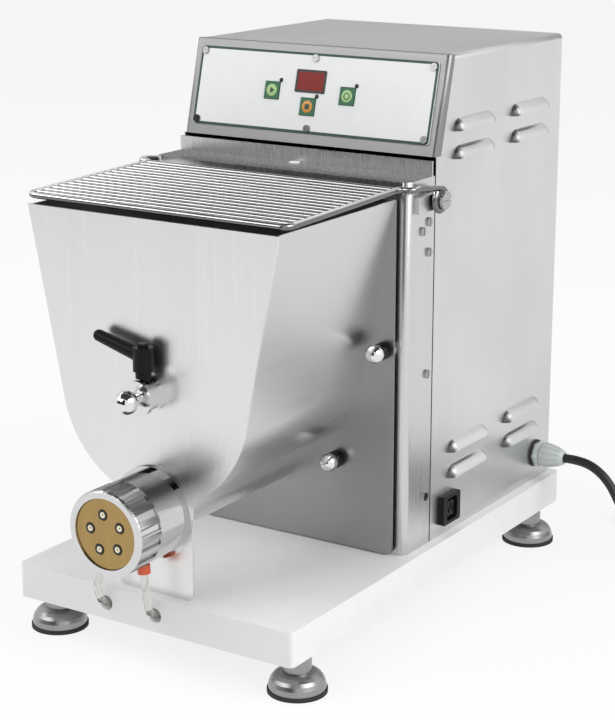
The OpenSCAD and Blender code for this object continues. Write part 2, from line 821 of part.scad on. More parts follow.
// A socket outlet: a block with slots stands in a rounded well
module accessory_socket() color("black") translate([body_half, y_socket, z_socket]) rotate([90, 0, 90])
    difference() {
        union() {
            linear_extrude(socket_out) round_rect(socket_w, socket_h, 2);
            translate([0, 0, -socket_back]) linear_extrude(socket_back + eps)
                round_rect(socket_w - 2 * (socket_edge + move_gap),
                    socket_h - 2 * (socket_edge + move_gap), 2);
        }
        translate([0, 0, 2 - socket_back]) linear_extrude(socket_back + socket_out) difference() {
            round_rect(well[0], well[1], well[2]);
            round_rect(contact_block[0], contact_block[1], contact_block[2]);
        }
        translate([0, 0, socket_out - contact_sunk]) linear_extrude(2 * contact_sunk)
            round_rect(contact_block[0] + 1, contact_block[1] + 1, contact_block[2]);
        for (c = contact_places) translate([c[0], c[1], 2 - socket_back]) linear_extrude(socket_back + socket_out)
            square(contact_slot, center = true);
    }

module cable_gland() color("gray") {
    rod_x([body_half, y_gland, z_gland], gland_flange_t, gland_r + 1);
    rod_x([body_half - 14, y_gland, z_gland], 14 + eps, gland_thread_r);
    rod_x([body_half - sheet_t - 4, y_gland, z_gland], 4, gland_r);
}

module gland_nut() color("silver")
    translate([body_half + gland_flange_t, y_gland, z_gland]) rotate([0, 90, 0]) {
        cylinder(h = gland_nut_len / 3, r = gland_r);
        translate([0, 0, gland_nut_len / 3 - eps])
            cylinder(h = gland_nut_len * 2 / 3 + eps, r1 = gland_r - 1, r2 = cord_r + 1.5);
    }

module power_cord() color("black") {
    sweep(cord_route, cord_r);
    sweep(tail_route, cord_r);
}

module cord_coil() color("black") translate([coil_centre[0], coil_centre[1], 0]) rotate_extrude()
    translate([coil_mid_r - coil_rings * cord_r, 0]) square([coil_rings * cord_d, coil_layers * cord_d]);

plug_r = 18;
plug_neck_r = 13;
plug_neck_len = 22;
plug_disc_t = 14;
plug_pin_r = 2.4;
plug_pin_len = 19;
plug_pin_off = 9.5;

module plug_body() color("black")
    translate(tail_route[len(tail_route) - 1]) rotate([0, -90, 0]) {
        cylinder(h = plug_neck_len + eps, r1 = cord_r + 1, r2 = plug_neck_r);
        translate([0, 0, plug_neck_len]) cylinder(h = plug_disc_t, r = plug_r);
        for (y = [-plug_pin_off, plug_pin_off]) translate([0, y, plug_neck_len + plug_disc_t - eps])
            cylinder(h = plug_pin_len + eps, r = plug_pin_r);
    }

transformer_at = [-60, 44];
transformer_foot = [66, 56, 4];
transformer_core = [50, 24, 44];
transformer_coil = [30, 46, 28];

module transformer() color("dimgray")
    translate([transformer_at[0], y_body_rear - transformer_at[1], z_board]) {
        translate([0, 0, transformer_foot[2] / 2]) cube(transformer_foot, center = true);
        for (block = [transformer_core, transformer_coil])
            translate([0, 0, transformer_foot[2] - eps + transformer_core[2] / 2])
                cube(block, center = true);
    }

// ---------------------------------------------------------------- hopper

// The trough's section: a round bottom and straight sides that leave it with a slight crease
side_crease = 0.1;

module trough_section(r, half_w, top) {
    rc = r - side_crease;
    a = atan2(top - z_mixer, half_w) - acos(rc / norm([half_w, top - z_mixer]));
    translate([0, z_mixer]) circle(r = r, $fn = 96);
    polygon([[0, z_mixer], [rc * cos(a), z_mixer + rc * sin(a)], [half_w, top],
        [-half_w, top], [-rc * cos(a), z_mixer + rc * sin(a)]]);
}

module channel_section(r, top) {
    intersection() {
        translate([0, z_auger]) circle(r = r);
        translate([-r, z_auger - r]) square([2 * r, r]);
    }
    translate([-r, z_auger]) square([2 * r, top - z_auger]);
}

channel_out = channel_r + trough_t;
z_channel_top = z_mixer - sqrt(pow(trough_r, 2) - pow(channel_out, 2)) + trough_t;

module hopper_trough() color("silver")
    plate_y(y_trough, y_back - y_trough) difference() {
        trough_section(trough_r, hopper_w / 2, z_rim);
        trough_section(trough_r - trough_t, hopper_w / 2 - trough_t, z_rim + eps);
        translate([-channel_out, z_auger]) square([2 * channel_out, z_mixer - z_auger]);
    }

module auger_channel() color("silver")
    plate_y(y_trough, y_back - y_trough) difference() {
        channel_section(channel_out, z_channel_top);
        channel_section(channel_r, z_channel_top + 1);
    }

// The blend between the front plate's round bottom and its foot
foot_blend = 12;

module front_outline() {
    r = trough_r + end_lip;
    w = plate_foot_w / 2;
    zc = z_mixer - sqrt(pow(r + foot_blend, 2) - pow(w + foot_blend, 2));
    touch = r / (r + foot_blend);
    trough_section(r, hopper_w / 2 + end_lip, z_rim);
    translate([-w, z_board + plate_foot_r]) square([2 * w, zc - z_board - plate_foot_r + 1]);
    translate([-w + plate_foot_r, z_board]) square([2 * (w - plate_foot_r), 2 * plate_foot_r]);
    for (x = [-1, 1]) translate([x * (w - plate_foot_r), z_board + plate_foot_r]) circle(r = plate_foot_r);
    difference() {
        polygon([[0, zc], [w + foot_blend, zc],
            [(w + foot_blend) * touch, z_mixer + (zc - z_mixer) * touch], [0, z_mixer],
            [-(w + foot_blend) * touch, z_mixer + (zc - z_mixer) * touch], [-w - foot_blend, zc]]);
        for (x = [-1, 1]) translate([x * (w + foot_blend), zc]) circle(r = foot_blend);
    }
}

module hopper_front_plate() color("silver") difference() {
    plate_y(y_plate, end_t) front_outline();
    rod_y([0, y_plate - 1, z_auger], end_t + 2, channel_r);
    rod_y([0, y_plate - 1, z_mixer], end_t + 2, pin_r + 0.5);
}

module hopper_back_plate() color("silver") difference() {
    plate_y(y_back, end_t) {
        w = hopper_w / 2;
        low = z_board + 1;
        translate([-w, low + 6]) square([2 * w, z_rim - low - 6]);
        translate([-w + 6, low]) square([2 * w - 12, 12]);
        for (x = [-1, 1]) translate([x * (w - 6), low + 6]) circle(r = 6);
    }
    rod_y([0, y_back - 1, z_auger], end_t + 2, shaft_r + 0.5);
    rod_y([0, y_back - 1, z_mixer], end_t + 2, mixer_shaft_r + 0.5);
    for (k = knob_places)
        rod_y([k[0], y_back - 1, z_board + k[1]], end_t + 2, knob_stud_r + run_play);
}

// ---------------------------------------------------------------- head, nut and die

hose_right_x = 5;
hose_left_x = -42;
fitting_y = (y_plate - flange_t + y_nut_rear) / 2;
fitting_r = 3.5;
fitting_len = 8;
collar_len = 7;
collar_up = 3;
collar_wall = 1.5;
right_tilt = 5;
left_tilt = -38;

// A water fitting's axis, pointing out of the jacket; tilt is measured from straight down
module at_fitting(tilt) translate([0, fitting_y, z_auger]) rotate([0, -tilt, 0]) rotate([180, 0, 0]) children();

module barrel_head() color("silver") difference() {
    union() {
        rod_y([0, y_plate - flange_t, z_auger], flange_t, flange_d / 2);
        rod_y([0, y_nut_rear + 0.3, z_auger], y_plate - y_nut_rear - 0.3, jacket_r);
        rod_y([0, y_barrel_end, z_auger], y_plate - y_barrel_end, thread_r);
        for (t = [right_tilt, left_tilt]) at_fitting(t)
            translate([0, 0, jacket_r - 4]) cylinder(h = fitting_len + 4, r = fitting_r);
    }
    rod_y([0, y_barrel_end - 1, z_auger], y_plate - y_barrel_end + 2, channel_r);
}

module hose_collars() color("darkorange") for (t = [right_tilt, left_tilt]) at_fitting(t)
    translate([0, 0, jacket_r + collar_up]) difference() {
        cylinder(h = collar_len, r = fitting_r + collar_wall);
        translate([0, 0, -1]) cylinder(h = fitting_len - collar_up + 1, r = fitting_r);
    }

// Where a fitting's collar ends, at a distance from the axis
function fitting_point(tilt, dist) = [dist * sin(tilt), fitting_y, z_auger - dist * cos(tilt)];
hose_start = jacket_r + collar_up + collar_len;
hose_straight = 4;
// The hose's bend into the board: depth behind the fitting, and height over the hole's axis
hose_bend = [[0, 20], [1, 12], [4, 5], [10, 1], [17, 0], [26, 0], [40, 0]];

function hose_points(tilt, x) = concat(
    [fitting_point(tilt, hose_start), fitting_point(tilt, hose_start + hose_straight)],
    [for (b = hose_bend) [x, fitting_y + b[0], hose_z + b[1]]]);

module hose_right() color("beige") sweep(hose_points(right_tilt, hose_right_x), hose_d / 2, 12);
module hose_left() color("beige") sweep(hose_points(left_tilt, hose_left_x), hose_d / 2, 12);

module ring_nut() color("silver") difference() {
    union() translate([0, y_nut, z_auger]) rotate([-90, 0, 0]) {
        cylinder(h = nut_chamfer + eps, r1 = nut_d / 2 - nut_chamfer, r2 = nut_d / 2 + eps);
        translate([0, 0, nut_chamfer]) cylinder(h = nut_len - nut_chamfer, r = nut_d / 2);
    }
    rod_y([0, y_nut - 1, z_auger], lip_t + 2, die_face_d / 2 + run_play);
    rod_y([0, y_nut + lip_t, z_auger], nut_len, die_r + run_play);
    for (i = [0:nut_flutes - 1]) translate([0, y_nut, z_auger]) rotate([0, i * 360 / nut_flutes, 0])
        translate([-flute_w / 2, nut_chamfer, nut_d / 2 - flute_deep])
            cube([flute_w, nut_len, 2 * flute_deep]);
}

insert_turn = 28;
insert_proud = 0.6;
insert_back = 1.1;
insert_places = [for (i = [0:insert_count - 1]) let (a = insert_turn + i * 360 / insert_count)
    [insert_circle / 2 * cos(a), insert_circle / 2 * sin(a)]];

module die() color("goldenrod") difference() {
    union() {
        rod_y([0, y_die_face, z_auger], y_die_shoulder - y_die_face + 1, die_face_d / 2);
        rod_y([0, y_die_shoulder, z_auger], y_barrel_end - y_die_shoulder - die_play, die_r);
    }
    for (p = insert_places)
        rod_y([p[0], y_die_face - 1, z_auger + p[1]], y_barrel_end - y_die_face + 1, insert_d / 2);
}

module die_inserts() color("ivory") for (p = insert_places) difference() {
    rod_y([p[0], y_die_face - insert_proud, z_auger + p[1]],
        y_barrel_end - insert_back - y_die_face + insert_proud, insert_d / 2);
    rod_y([p[0], y_die_face - 1, z_auger + p[1]], y_barrel_end - y_die_face + 1, insert_d / 5);
}

// ---------------------------------------------------------------- auger and mixer

auger_start = y_barrel_end + 4;
auger_len = y_back - 1 - auger_start;

flight_len = auger_len - tang_len - 3;

// The thread is one twisted rib on a round core
module auger() color("silver") {
    translate([0, y_back - 1 - tang_len, z_auger]) rotate([90, 0, 0])
        linear_extrude(flight_len, twist = -360 * flight_len / auger_pitch,
            slices = round(20 * flight_len / auger_pitch), $fn = 12)
            polygon(concat([for (a = [-16:16:16]) polar(auger_r, a)],
                [for (a = [36:36:324]) polar(auger_core_r, a)]));
    rod_y([0, auger_start, z_auger], 3, auger_core_r - 1);
    difference() {
        rod_y([0, y_back - 1 - tang_len, z_auger], tang_len, channel_r - 2.5);
        translate([0, y_back - 1 - tang_len / 2, z_auger])
            cube([tang + 0.2, tang_len + 2 * eps, tang + 0.2], center = true);
    }
}

mixer_r = mixer_rise - auger_r - mixer_gap;
mixer_start = y_trough + 2;
mixer_len = y_back - 1 - mixer_start;

module mixer() color("silver") difference() {
    union() {
        rod_y([0, mixer_start, z_mixer], mixer_len, mixer_shaft_r);
        for (i = [0:arm_count - 1])
            translate([0, mixer_start + mixer_len * (i + 0.6) / arm_count, z_mixer])
                rotate([0, i * 180, 0]) {
                    cylinder(h = mixer_r - arm_d / 2, r = arm_d / 2);
                    translate([0, 0, mixer_r - arm_d / 2]) sphere(r = arm_d / 2);
                }
    }
    rod_y([0, mixer_start - 1, z_mixer], pin_reach + 3, pin_r + run_play);
    translate([0, y_back - 1 - tang_len / 2, z_mixer])
        cube([tang + 0.2, tang_len + 2 * eps, tang + 0.2], center = true);
}

// ---------------------------------------------------------------- front boss, pin and lever

pin_reach = 24;
collar_r = 6;

module pin_boss() color("silver") difference() {
    union() {
        rod_y([0, y_boss, z_mixer], boss_len, boss_r - 1.5);
        rod_y([0, y_boss, z_mixer], 4, boss_r);
        rod_y([0, y_plate - 3, z_mixer], 3, boss_r);
    }
    rod_y([0, y_boss - 1, z_mixer], boss_len + 2, pin_r + run_play);
    translate([0, y_stud, z_mixer]) cylinder(h = boss_r + 1, r = 3 + run_play);
}

module mixer_pin() color("silver") {
    rod_y([0, y_boss - 4, z_mixer], boss_len + 4 + end_t + pin_reach, pin_r);
    rod_y([0, y_boss - ball_d / 2 - 3, z_mixer], ball_d / 2, pin_r / 2 + 1);
    translate([0, y_boss - ball_d / 2 - 2.5, z_mixer]) sphere(r = ball_d / 2);
}

module clamp_lever() color("black") translate([0, y_stud, 0]) {
    translate([0, 0, z_mixer + pin_r + 0.3]) cylinder(h = boss_r, r = 3);
    translate([0, 0, z_mixer + boss_r + 0.5]) cylinder(h = 6, r = collar_r);
    translate([0, 0, z_hub]) cylinder(h = hub_h, r = hub_d / 2);
    translate([0, 0, z_hub + hub_h - eps]) cylinder(h = 3, r = 4);
    translate([0, 0, z_hub + hub_h - 7]) rotate([0, -76, 0]) {
        cylinder(h = lever_len, r1 = 6, r2 = 4.5);
        translate([0, 0, lever_len]) sphere(r = 4.5);
    }
}

// ---------------------------------------------------------------- guard

guard_corner_r = 8;
guard_step_r = 5;
// The rod steps from the hopper's side to the eye's side in two bends, square ones where there's room
guard_step = x_eye - guard_x;
guard_step_turn = acos(1 - min(abs(guard_step) / (2 * guard_step_r), 1));
guard_step_run = max(abs(guard_step) - 2 * guard_step_r, 0);
guard_step_roll = guard_step < 0 ? 0 : 180;
guard_tilt = atan(guard_slope);
guard_run = norm([y_guard_rear - y_guard_front, z_guard_rear - z_guard_front]) + guard_step_r;

// Behind the step outwards the rod bends down, falls in a straight line and curls round the pivot
elbow_before = 4;
elbow_at = [y_guard_front + (guard_run + elbow_before) * cos(guard_tilt) + eye_r * sin(guard_tilt),
    z_guard_front + (guard_run + elbow_before) * sin(guard_tilt) - eye_r * cos(guard_tilt)];
eye_run = [y_pivot, z_pivot] - elbow_at;
eye_fall = -atan2(eye_run[1], eye_run[0]);

module guard_frame() color("silver") both_sides() {
    translate([0, y_guard_front, z_guard_front]) rotate([guard_tilt, 0, 0]) rotate(a = 120, v = [1, 1, 1])
        wire([[guard_x - guard_corner_r, guard_corner_r, 90, 0],
            [guard_run - 2 * guard_step_r * sin(guard_step_turn) - guard_corner_r,
                guard_step_r, guard_step_turn, guard_step_roll],
            [guard_step_run, guard_step_r, guard_step_turn, 180],
            [elbow_before, eye_r, guard_tilt + eye_fall, 90 - guard_step_roll],
            [norm(eye_run), eye_r, 310, 0]], guard_rod_d / 2);
    translate([x_eye, y_pivot, z_pivot]) rotate([0, 90, 0]) difference() {
        cylinder(h = guard_rod_d, r = eye_r - 1, center = true);
        cylinder(h = 2 * guard_rod_d, r = pivot_d / 2 + run_play, center = true);
    }
}

module guard_bars() color("silver") for (i = [0:bar_count - 1]) {
    y = y_guard_rear - 6 - i * (y_guard_rear - 6 - y_guard_front) / bar_count;
    z = z_guard_front + (y - y_guard_front) * guard_slope;
    rod_x([-guard_x, y, z + (guard_rod_d - bar_d) / 2], 2 * guard_x, bar_d / 2);
}

module hinge_blocks() color("gray") both_sides() difference() {
    union() {
        translate([body_half, y_column + block_setback, z_pivot - block_drop])
            cube([block_t, block_len, block_h]);
        rod_x([body_half, y_pivot, z_pivot], block_t + block_boss_out, pivot_d / 2 + block_boss_wall);
    }
    rod_x([body_half - 1, y_pivot, z_pivot], block_t + 3, pivot_d / 2);
}

// A slotted shoulder pin on each side, held by a nut inside the column
module hinge_pivots() color("silver") both_sides() translate([0, y_pivot, z_pivot]) {
    head_x = x_eye + guard_rod_d / 2 + move_gap;
    rod_x([body_half - sheet_t - 7, 0, 0], head_x - body_half + sheet_t + 7, pivot_d / 2);
    rod_x([body_half - sheet_t - 5, 0, 0], 5, pivot_d / 2 + 3);
    difference() {
        rod_x([head_x, 0, 0], 3, pivot_head_d / 2);
        translate([head_x + 1.5, -pivot_head_d, -0.8]) cube([3, 2 * pivot_head_d, 1.6]);
    }
}

// ---------------------------------------------------------------- thumb knobs

module thumb_knob(place) color("silver") {
    x = place[0];
    z = z_board + place[1];
    rod_y([x, y_back - 0.3 - knob_collar_len, z], knob_collar_len, knob_collar_d / 2);
    translate([x, y_back - knob_collar_len - knob_ball_d / 2 + 2, z]) sphere(r = knob_ball_d / 2);
    rod_y([x, y_back - 1, z], end_t + back_gap + sheet_t + 1 - move_gap, knob_stud_r);
}

module knob_upper_left() thumb_knob(knob_places[0]);
module knob_upper_right() thumb_knob(knob_places[1]);
module knob_lower_left() thumb_knob(knob_places[2]);
module knob_lower_right() thumb_knob(knob_places[3]);

// ---------------------------------------------------------------- drive

shaft_places = [[0, z_auger, shaft_r], [0, z_mixer, mixer_shaft_r], [x_lay, z_lay, lay_r]];
plate_half = 96;
gear_plate_h = 190;
post_places = [[-86, 14], [86, 14], [-86, gear_plate_h - 12], [86, gear_plate_h - 12]];

module gear_plates() color("slategray") {
    for (y = [y_gear_front, y_gear_rear]) difference() {
        translate([-plate_half, y, z_board]) cube([2 * plate_half, gear_plate_t, gear_plate_h]);
        for (s = shaft_places)
            rod_y([s[0], y - 1, s[1]], gear_plate_t + 2, s[2] + bearing_wall);
        rod_y([x_motor, y - 1, z_motor], gear_plate_t + 2, 12);
    }
    for (p = post_places) rod_y([p[0], y_gear_in, z_board + p[1]], gear_space, 6);
}

module bearings() color("silver") for (y = [y_gear_front, y_gear_rear], s = shaft_places)
    difference() {
        rod_y([s[0], y, s[1]], gear_plate_t, s[2] + bearing_wall);
        rod_y([s[0], y - 1, s[1]], gear_plate_t + 2, s[2] + run_play);
    }

module drive_shaft(x, z, r, start) rod_y([x, start, z], y_motor - 1 - start, r);

module auger_gears() color("steelblue") {
    drive_shaft(0, z_auger, shaft_r, y_back - 0.5);
    translate([-tang / 2, y_back - 1 - tang_len + 1, z_auger - tang / 2]) cube([tang, tang_len + 1, tang]);
    gear(0, y_gear_in + layer_a[0], z_auger, layer_a[1], mixer_module, auger_pinion_teeth, 90);
    gear(0, y_gear_in + layer_b[0], z_auger, layer_b[1], stage_two_module, auger_gear_teeth, lay_angle);
}

module mixer_gear() color("steelblue") {
    drive_shaft(0, z_mixer, mixer_shaft_r, y_back - 0.5);
    translate([-tang / 2, y_back - 1 - tang_len + 1, z_mixer - tang / 2]) cube([tang, tang_len + 1, tang]);
    gear(0, y_gear_in + layer_a[0], z_mixer, layer_a[1], mixer_module, mixer_gear_teeth,
        -90 + 180 / mixer_gear_teeth);
}

module lay_shaft() color("steelblue") {
    drive_shaft(x_lay, z_lay, lay_r, y_gear_front + 1);
    gear(x_lay, y_gear_in + layer_b[0], z_lay, layer_b[1], stage_two_module, lay_pinion_teeth,
        lay_angle + 180 + 180 / lay_pinion_teeth);
    gear(x_lay, y_gear_in + layer_c[0], z_lay, layer_c[1], stage_one_module, lay_gear_teeth, motor_angle);
}

motor_bore_r = 5.5;
motor_wall = 8;
motor_fin_h = 4;
motor_fin_t = 2;
motor_fin_gap = 4;
motor_front_t = 8;
motor_rear_t = 26;
motor_cavity_front = 10;
motor_cavity_rear = 30;
motor_blind = 20;
motor_body_r = motor_d / 2 - motor_fin_h;
rotor_gap = 6;
rotor_r = motor_body_r - motor_wall - 2;
terminal_box = [50, 50, 22];
terminal_from = 30;
terminal_sink = 8;

module motor_housing() color("gray") {
    difference() {
        union() {
            rod_y([x_motor, y_motor, z_motor], motor_len, motor_body_r);
            for (a = [0:15:345]) translate([x_motor, y_motor + motor_front_t + motor_fin_gap, z_motor])
                rotate([0, a, 0]) translate([-motor_fin_t / 2, 0, 0])
                    cube([motor_fin_t, motor_len - motor_front_t - motor_rear_t - 2 * motor_fin_gap,
                        motor_d / 2]);
            rod_y([x_motor, y_motor, z_motor], motor_front_t, motor_d / 2);
            rod_y([x_motor, y_motor + motor_len - motor_rear_t, z_motor], motor_rear_t, motor_d / 2);
        }
        rod_y([x_motor, y_motor + motor_cavity_front, z_motor],
            motor_len - motor_cavity_front - motor_cavity_rear, motor_body_r - motor_wall);
        rod_y([x_motor, y_motor - 1, z_motor], motor_len - motor_blind, motor_bore_r + run_play);
    }
    translate([x_motor - terminal_box[0] / 2, y_motor + terminal_from, z_motor + motor_d / 2 - terminal_sink])
        cube(terminal_box);
}

module motor_rotor() color("silver") {
    rod_y([x_motor, y_gear_in + layer_c[0] - 2, z_motor], y_motor - y_gear_in - layer_c[0] + motor_len - 22,
        motor_bore_r);
    gear(x_motor, y_gear_in + layer_c[0], z_motor, layer_c[1], stage_one_module, motor_pinion_teeth,
        motor_angle + 180 + 180 / motor_pinion_teeth);
    rod_y([x_motor, y_motor + motor_cavity_front + rotor_gap, z_motor],
        motor_len - motor_cavity_front - motor_cavity_rear - 2 * rotor_gap, rotor_r);
}

// ---------------------------------------------------------------- nodes

module foot_front_left() foot(-foot_x, foot_y_front);
module foot_front_right() foot(foot_x, foot_y_front);
module foot_rear_left() foot(-foot_x, foot_y_rear);
module foot_rear_right() foot(foot_x, foot_y_rear);
module foot_pad_front_left() foot_pad(-foot_x, foot_y_front);
module foot_pad_front_right() foot_pad(foot_x, foot_y_front);
module foot_pad_rear_left() foot_pad(-foot_x, foot_y_rear);
module foot_pad_rear_right() foot_pad(foot_x, foot_y_rear);

base_board();
foot_front_left();
foot_front_right();
foot_rear_left();
foot_rear_right();
foot_pad_front_left();
foot_pad_front_right();
foot_pad_rear_left();
foot_pad_rear_right();
front_frame();
side_cover();
rear_panel();
panel_housing();
panel_plate();
panel_screws();
display_window();
display_board();
key_start();
key_stop();
key_extrude();
cover_screws();
shelf_plug();
accessory_socket();
cable_gland();
gland_nut();
power_cord();
cord_coil();
plug_body();
transformer();
hopper_trough();
hopper_front_plate();
hopper_back_plate();
auger_channel();
barrel_head();
ring_nut();
die();
die_inserts();
auger();
mixer();
pin_boss();
mixer_pin();
clamp_lever();
hose_left();
hose_right();
hose_collars();
guard_frame();
guard_bars();
hinge_blocks();
hinge_pivots();
knob_upper_left();
knob_upper_right();
knob_lower_left();
knob_lower_right();
gear_plates();
motor_housing();
motor_rotor();
lay_shaft();
auger_gears();
mixer_gear();
bearings();
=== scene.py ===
import math

import bmesh
import bpy
from bpy.props import FloatProperty, FloatVectorProperty, PointerProperty
from mathutils import Matrix, Vector


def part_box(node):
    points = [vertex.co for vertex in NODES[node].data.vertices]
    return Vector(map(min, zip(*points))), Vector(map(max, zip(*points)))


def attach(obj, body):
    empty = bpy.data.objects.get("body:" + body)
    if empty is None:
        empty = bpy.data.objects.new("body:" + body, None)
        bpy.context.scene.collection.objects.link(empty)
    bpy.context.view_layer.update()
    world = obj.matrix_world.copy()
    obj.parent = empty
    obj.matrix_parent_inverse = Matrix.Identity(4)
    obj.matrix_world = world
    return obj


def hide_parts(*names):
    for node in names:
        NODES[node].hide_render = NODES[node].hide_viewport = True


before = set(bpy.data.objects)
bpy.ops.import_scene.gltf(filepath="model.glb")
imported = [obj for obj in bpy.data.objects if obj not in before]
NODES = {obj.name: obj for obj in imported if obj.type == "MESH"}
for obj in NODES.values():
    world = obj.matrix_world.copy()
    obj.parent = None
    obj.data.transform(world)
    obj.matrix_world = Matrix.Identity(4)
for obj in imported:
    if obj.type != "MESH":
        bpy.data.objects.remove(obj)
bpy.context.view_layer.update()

bl_info = {
    "name": "Pasta maker",
    "version": (1, 0, 0),
    "blender": (4, 5, 0),
    "location": "3D View > Sidebar > Pasta maker",
    "description": "Finishes an electric pasta maker: steel, brass die, key panel, cord and studio",
    "category": "Object",
}

MM = 0.001
QUARTER_TURN = math.pi / 2
SMOOTH_UP_TO = math.radians(35)


def placed(at, turn, axis):
    """Millimetres turned round an axis, to metres at a place given in millimetres."""
    return (Matrix.Translation(Vector(at) * MM) @ Matrix.Rotation(turn, 4, axis)
            @ Matrix.Scale(MM, 4))


# The panel's face from its lower middle, leaning 20 back over a rise of 77. X and Y lie in it.
FACE = placed((0, 23, 377), QUARTER_TURN - math.atan(20 / 77), "X")
PLATE_LOW, PLATE_TOP, KEY_TOP = 8.5, 1.5, 2.3
KEYS = {"start": (-38, 41), "stop": (-2, 30), "extrude": (34, 41)}

# One point on each of these axes, which all run along Y.
BARREL_AXIS = (0, 0, 0.126)
PIN_AXIS = (0, 0, 0.219)
ROTOR_AXIS = (0.029206, 0, 0.16367)
TROUGH_AXIS = (0, 0, 0.26)


# ------------------------------------------------------------ sizes and colours

def colour(name, description, value):
    return FloatVectorProperty(name=name, description=description, default=value,
                               subtype="COLOR", size=3, min=0, max=1)


def length(name, description, value):
    return FloatProperty(name=name, description=description, default=value,
                         unit="LENGTH", subtype="DISTANCE", min=0)


def share(name, description, value):
    return FloatProperty(name=name, description=description, default=value,
                         subtype="FACTOR", min=0, max=1)


class SteelSettings(bpy.types.PropertyGroup):
    cover: colour("Cover", "Brushed sheet of the housing", (0.76, 0.76, 0.76))
    column: colour("Column", "Sheet of the column behind the hopper", (0.66, 0.66, 0.66))
    # The back plate's tone is the hopper's steel darkened as painted shade.
    back_plate: colour("Back plate", "Rear end plate of the hopper", (0.38, 0.38, 0.38))
    rim: colour("Panel rim", "Sheet that frames the key panel", (0.30, 0.30, 0.30))
    screw: colour("Screws", "Heads of the sheet screws", (0.42, 0.42, 0.42))
    panel_screw: colour("Panel screws", "Heads of the screws of the panel", (0.24, 0.24, 0.24))
    hopper: colour("Hopper", "Satin sheet of the hopper", (0.78, 0.78, 0.78))
    polished: colour("Polished", "Polished barrel, bars and pins", (0.78, 0.78, 0.78))
    cover_roughness: share("Cover roughness", "How dull the brushed sheet is", 0.34)
    hopper_roughness: share("Hopper roughness", "How dull the satin sheet is", 0.3)


class PlasticSettings(bpy.types.PropertyGroup):
    board: colour("Board", "White base board", (0.86, 0.86, 0.86))
    plate: colour("Panel plate", "White film of the key panel", (0.76, 0.77, 0.77))
    key: colour("Keys", "Green key caps", (0.012, 0.12, 0.045))
    mark: colour("Key marks", "Light discs on the keys", (0.36, 0.55, 0.22))
    stop_mark: colour("Stop mark", "Amber disc on the stop key", (0.62, 0.27, 0.04))
    line: colour("Border line", "Thin line round the panel plate", (0.01, 0.05, 0.035))
    window: colour("Display", "Red display window", (0.22, 0.014, 0.01))
    black: colour("Black plastic", "Lever, socket and plug", (0.008, 0.008, 0.008))


class BrassSettings(bpy.types.PropertyGroup):
    brass: colour("Brass", "Brushed brass of the die", (0.44, 0.30, 0.12))
    insert: colour("Inserts", "Cream plastic in the die", (0.80, 0.74, 0.55))


class CordSettings(bpy.types.PropertyGroup):
    diameter: length("Cord diameter", "Outer diameter of the mains cord", 0.008)
    sheath: colour("Sheath", "Black sheath of the cord", (0.012, 0.012, 0.012))
    gland: colour("Gland", "Grey plastic of the cord's gland", (0.56, 0.61, 0.60))


class StudioSettings(bpy.types.PropertyGroup):
    floor: colour("Floor", "Pale floor under the machine", (0.9, 0.9, 0.9))
    sky: share("Sky", "Level of the light from all sides", 0.57)
    lamp: FloatProperty(name="Lamp", description="Power of the main lamp", default=60,
                        unit="POWER", min=0)


# ------------------------------------------------------------ patterns

def pattern(name, inputs, outputs):
    """A node group with its input and output nodes."""
    group = bpy.data.node_groups.new(name, "ShaderNodeTree")
    for socket, kind, value in inputs:
        made = group.interface.new_socket(socket, in_out="INPUT", socket_type=kind)
        made.default_value = value
    for socket in outputs:
        group.interface.new_socket(socket, in_out="OUTPUT", socket_type="NodeSocketFloat")
    return group, group.nodes.new("NodeGroupInput"), group.nodes.new("NodeGroupOutput")


def vector_math(tree, how, first, second=None, scale=None):
    node = tree.nodes.new("ShaderNodeVectorMath")
    node.operation = how
    tree.links.new(first, node.inputs[0])
    if second is not None:
        tree.links.new(second, node.inputs[1])
    if scale is not None:
        tree.links.new(scale, node.inputs["Scale"])
    return node.outputs["Value" if how in ("DOT_PRODUCT", "LENGTH") else "Vector"]


def noise(tree, at, scale, detail, roughness):
    node = tree.nodes.new("ShaderNodeTexNoise")
    node.inputs["Scale"].default_value = scale
    node.inputs["Detail"].default_value = detail
    node.inputs["Roughness"].default_value = roughness
    tree.links.new(at, node.inputs["Vector"])
    return node.outputs["Fac"]


def ramped(tree, value, low, high):
    """0 below low and 1 above high, with a slope between."""
    ramp = tree.nodes.new("ShaderNodeMapRange")
    ramp.inputs["From Min"].default_value, ramp.inputs["From Max"].default_value = low, high
    tree.links.new(value, ramp.inputs["Value"])
    return ramp.outputs["Result"]


def coordinate(tree, which="Object"):
    return tree.nodes.new("ShaderNodeTexCoord").outputs[which]


def per_metre(tree, at, place):
    """A place scaled by the group's Per metre input."""
    return vector_math(tree, "SCALE", place, scale=at.outputs["Per metre"])


def brushing():
    """Fine lines, and wider streaks along them. Stretch is the lines per metre on each axis."""
    group, at, out = pattern("Brushing", [("Stretch", "NodeSocketVector", (900, 900, 6))],
                             ["Lines", "Streaks"])
    fine = vector_math(group, "MULTIPLY", coordinate(group), at.outputs["Stretch"])
    group.links.new(noise(group, fine, 1, 3, 0.6), out.inputs["Lines"])
    group.links.new(noise(group, fine, 0.08, 2, 0.5), out.inputs["Streaks"])
    return group


def smudging():
    """Soft cloudy patches, such as wiped-off water leaves on sheet."""
    group, at, out = pattern("Smudges", [("Per metre", "NodeSocketFloat", 9.0)], ["Mask"])
    clouds = noise(group, per_metre(group, at, coordinate(group)), 1, 4, 0.6)
    group.links.new(ramped(group, clouds, 0.35, 0.7), out.inputs["Mask"])
    return group


def graining():
    """Fine moulded grain with a little mottling."""
    group, at, out = pattern("Grain", [("Per metre", "NodeSocketFloat", 2500.0)],
                             ["Height", "Mottle"])
    scaled = per_metre(group, at, coordinate(group))
    group.links.new(noise(group, scaled, 1, 2, 0.5), out.inputs["Height"])
    group.links.new(noise(group, scaled, 0.03, 3, 0.6), out.inputs["Mottle"])
    return group


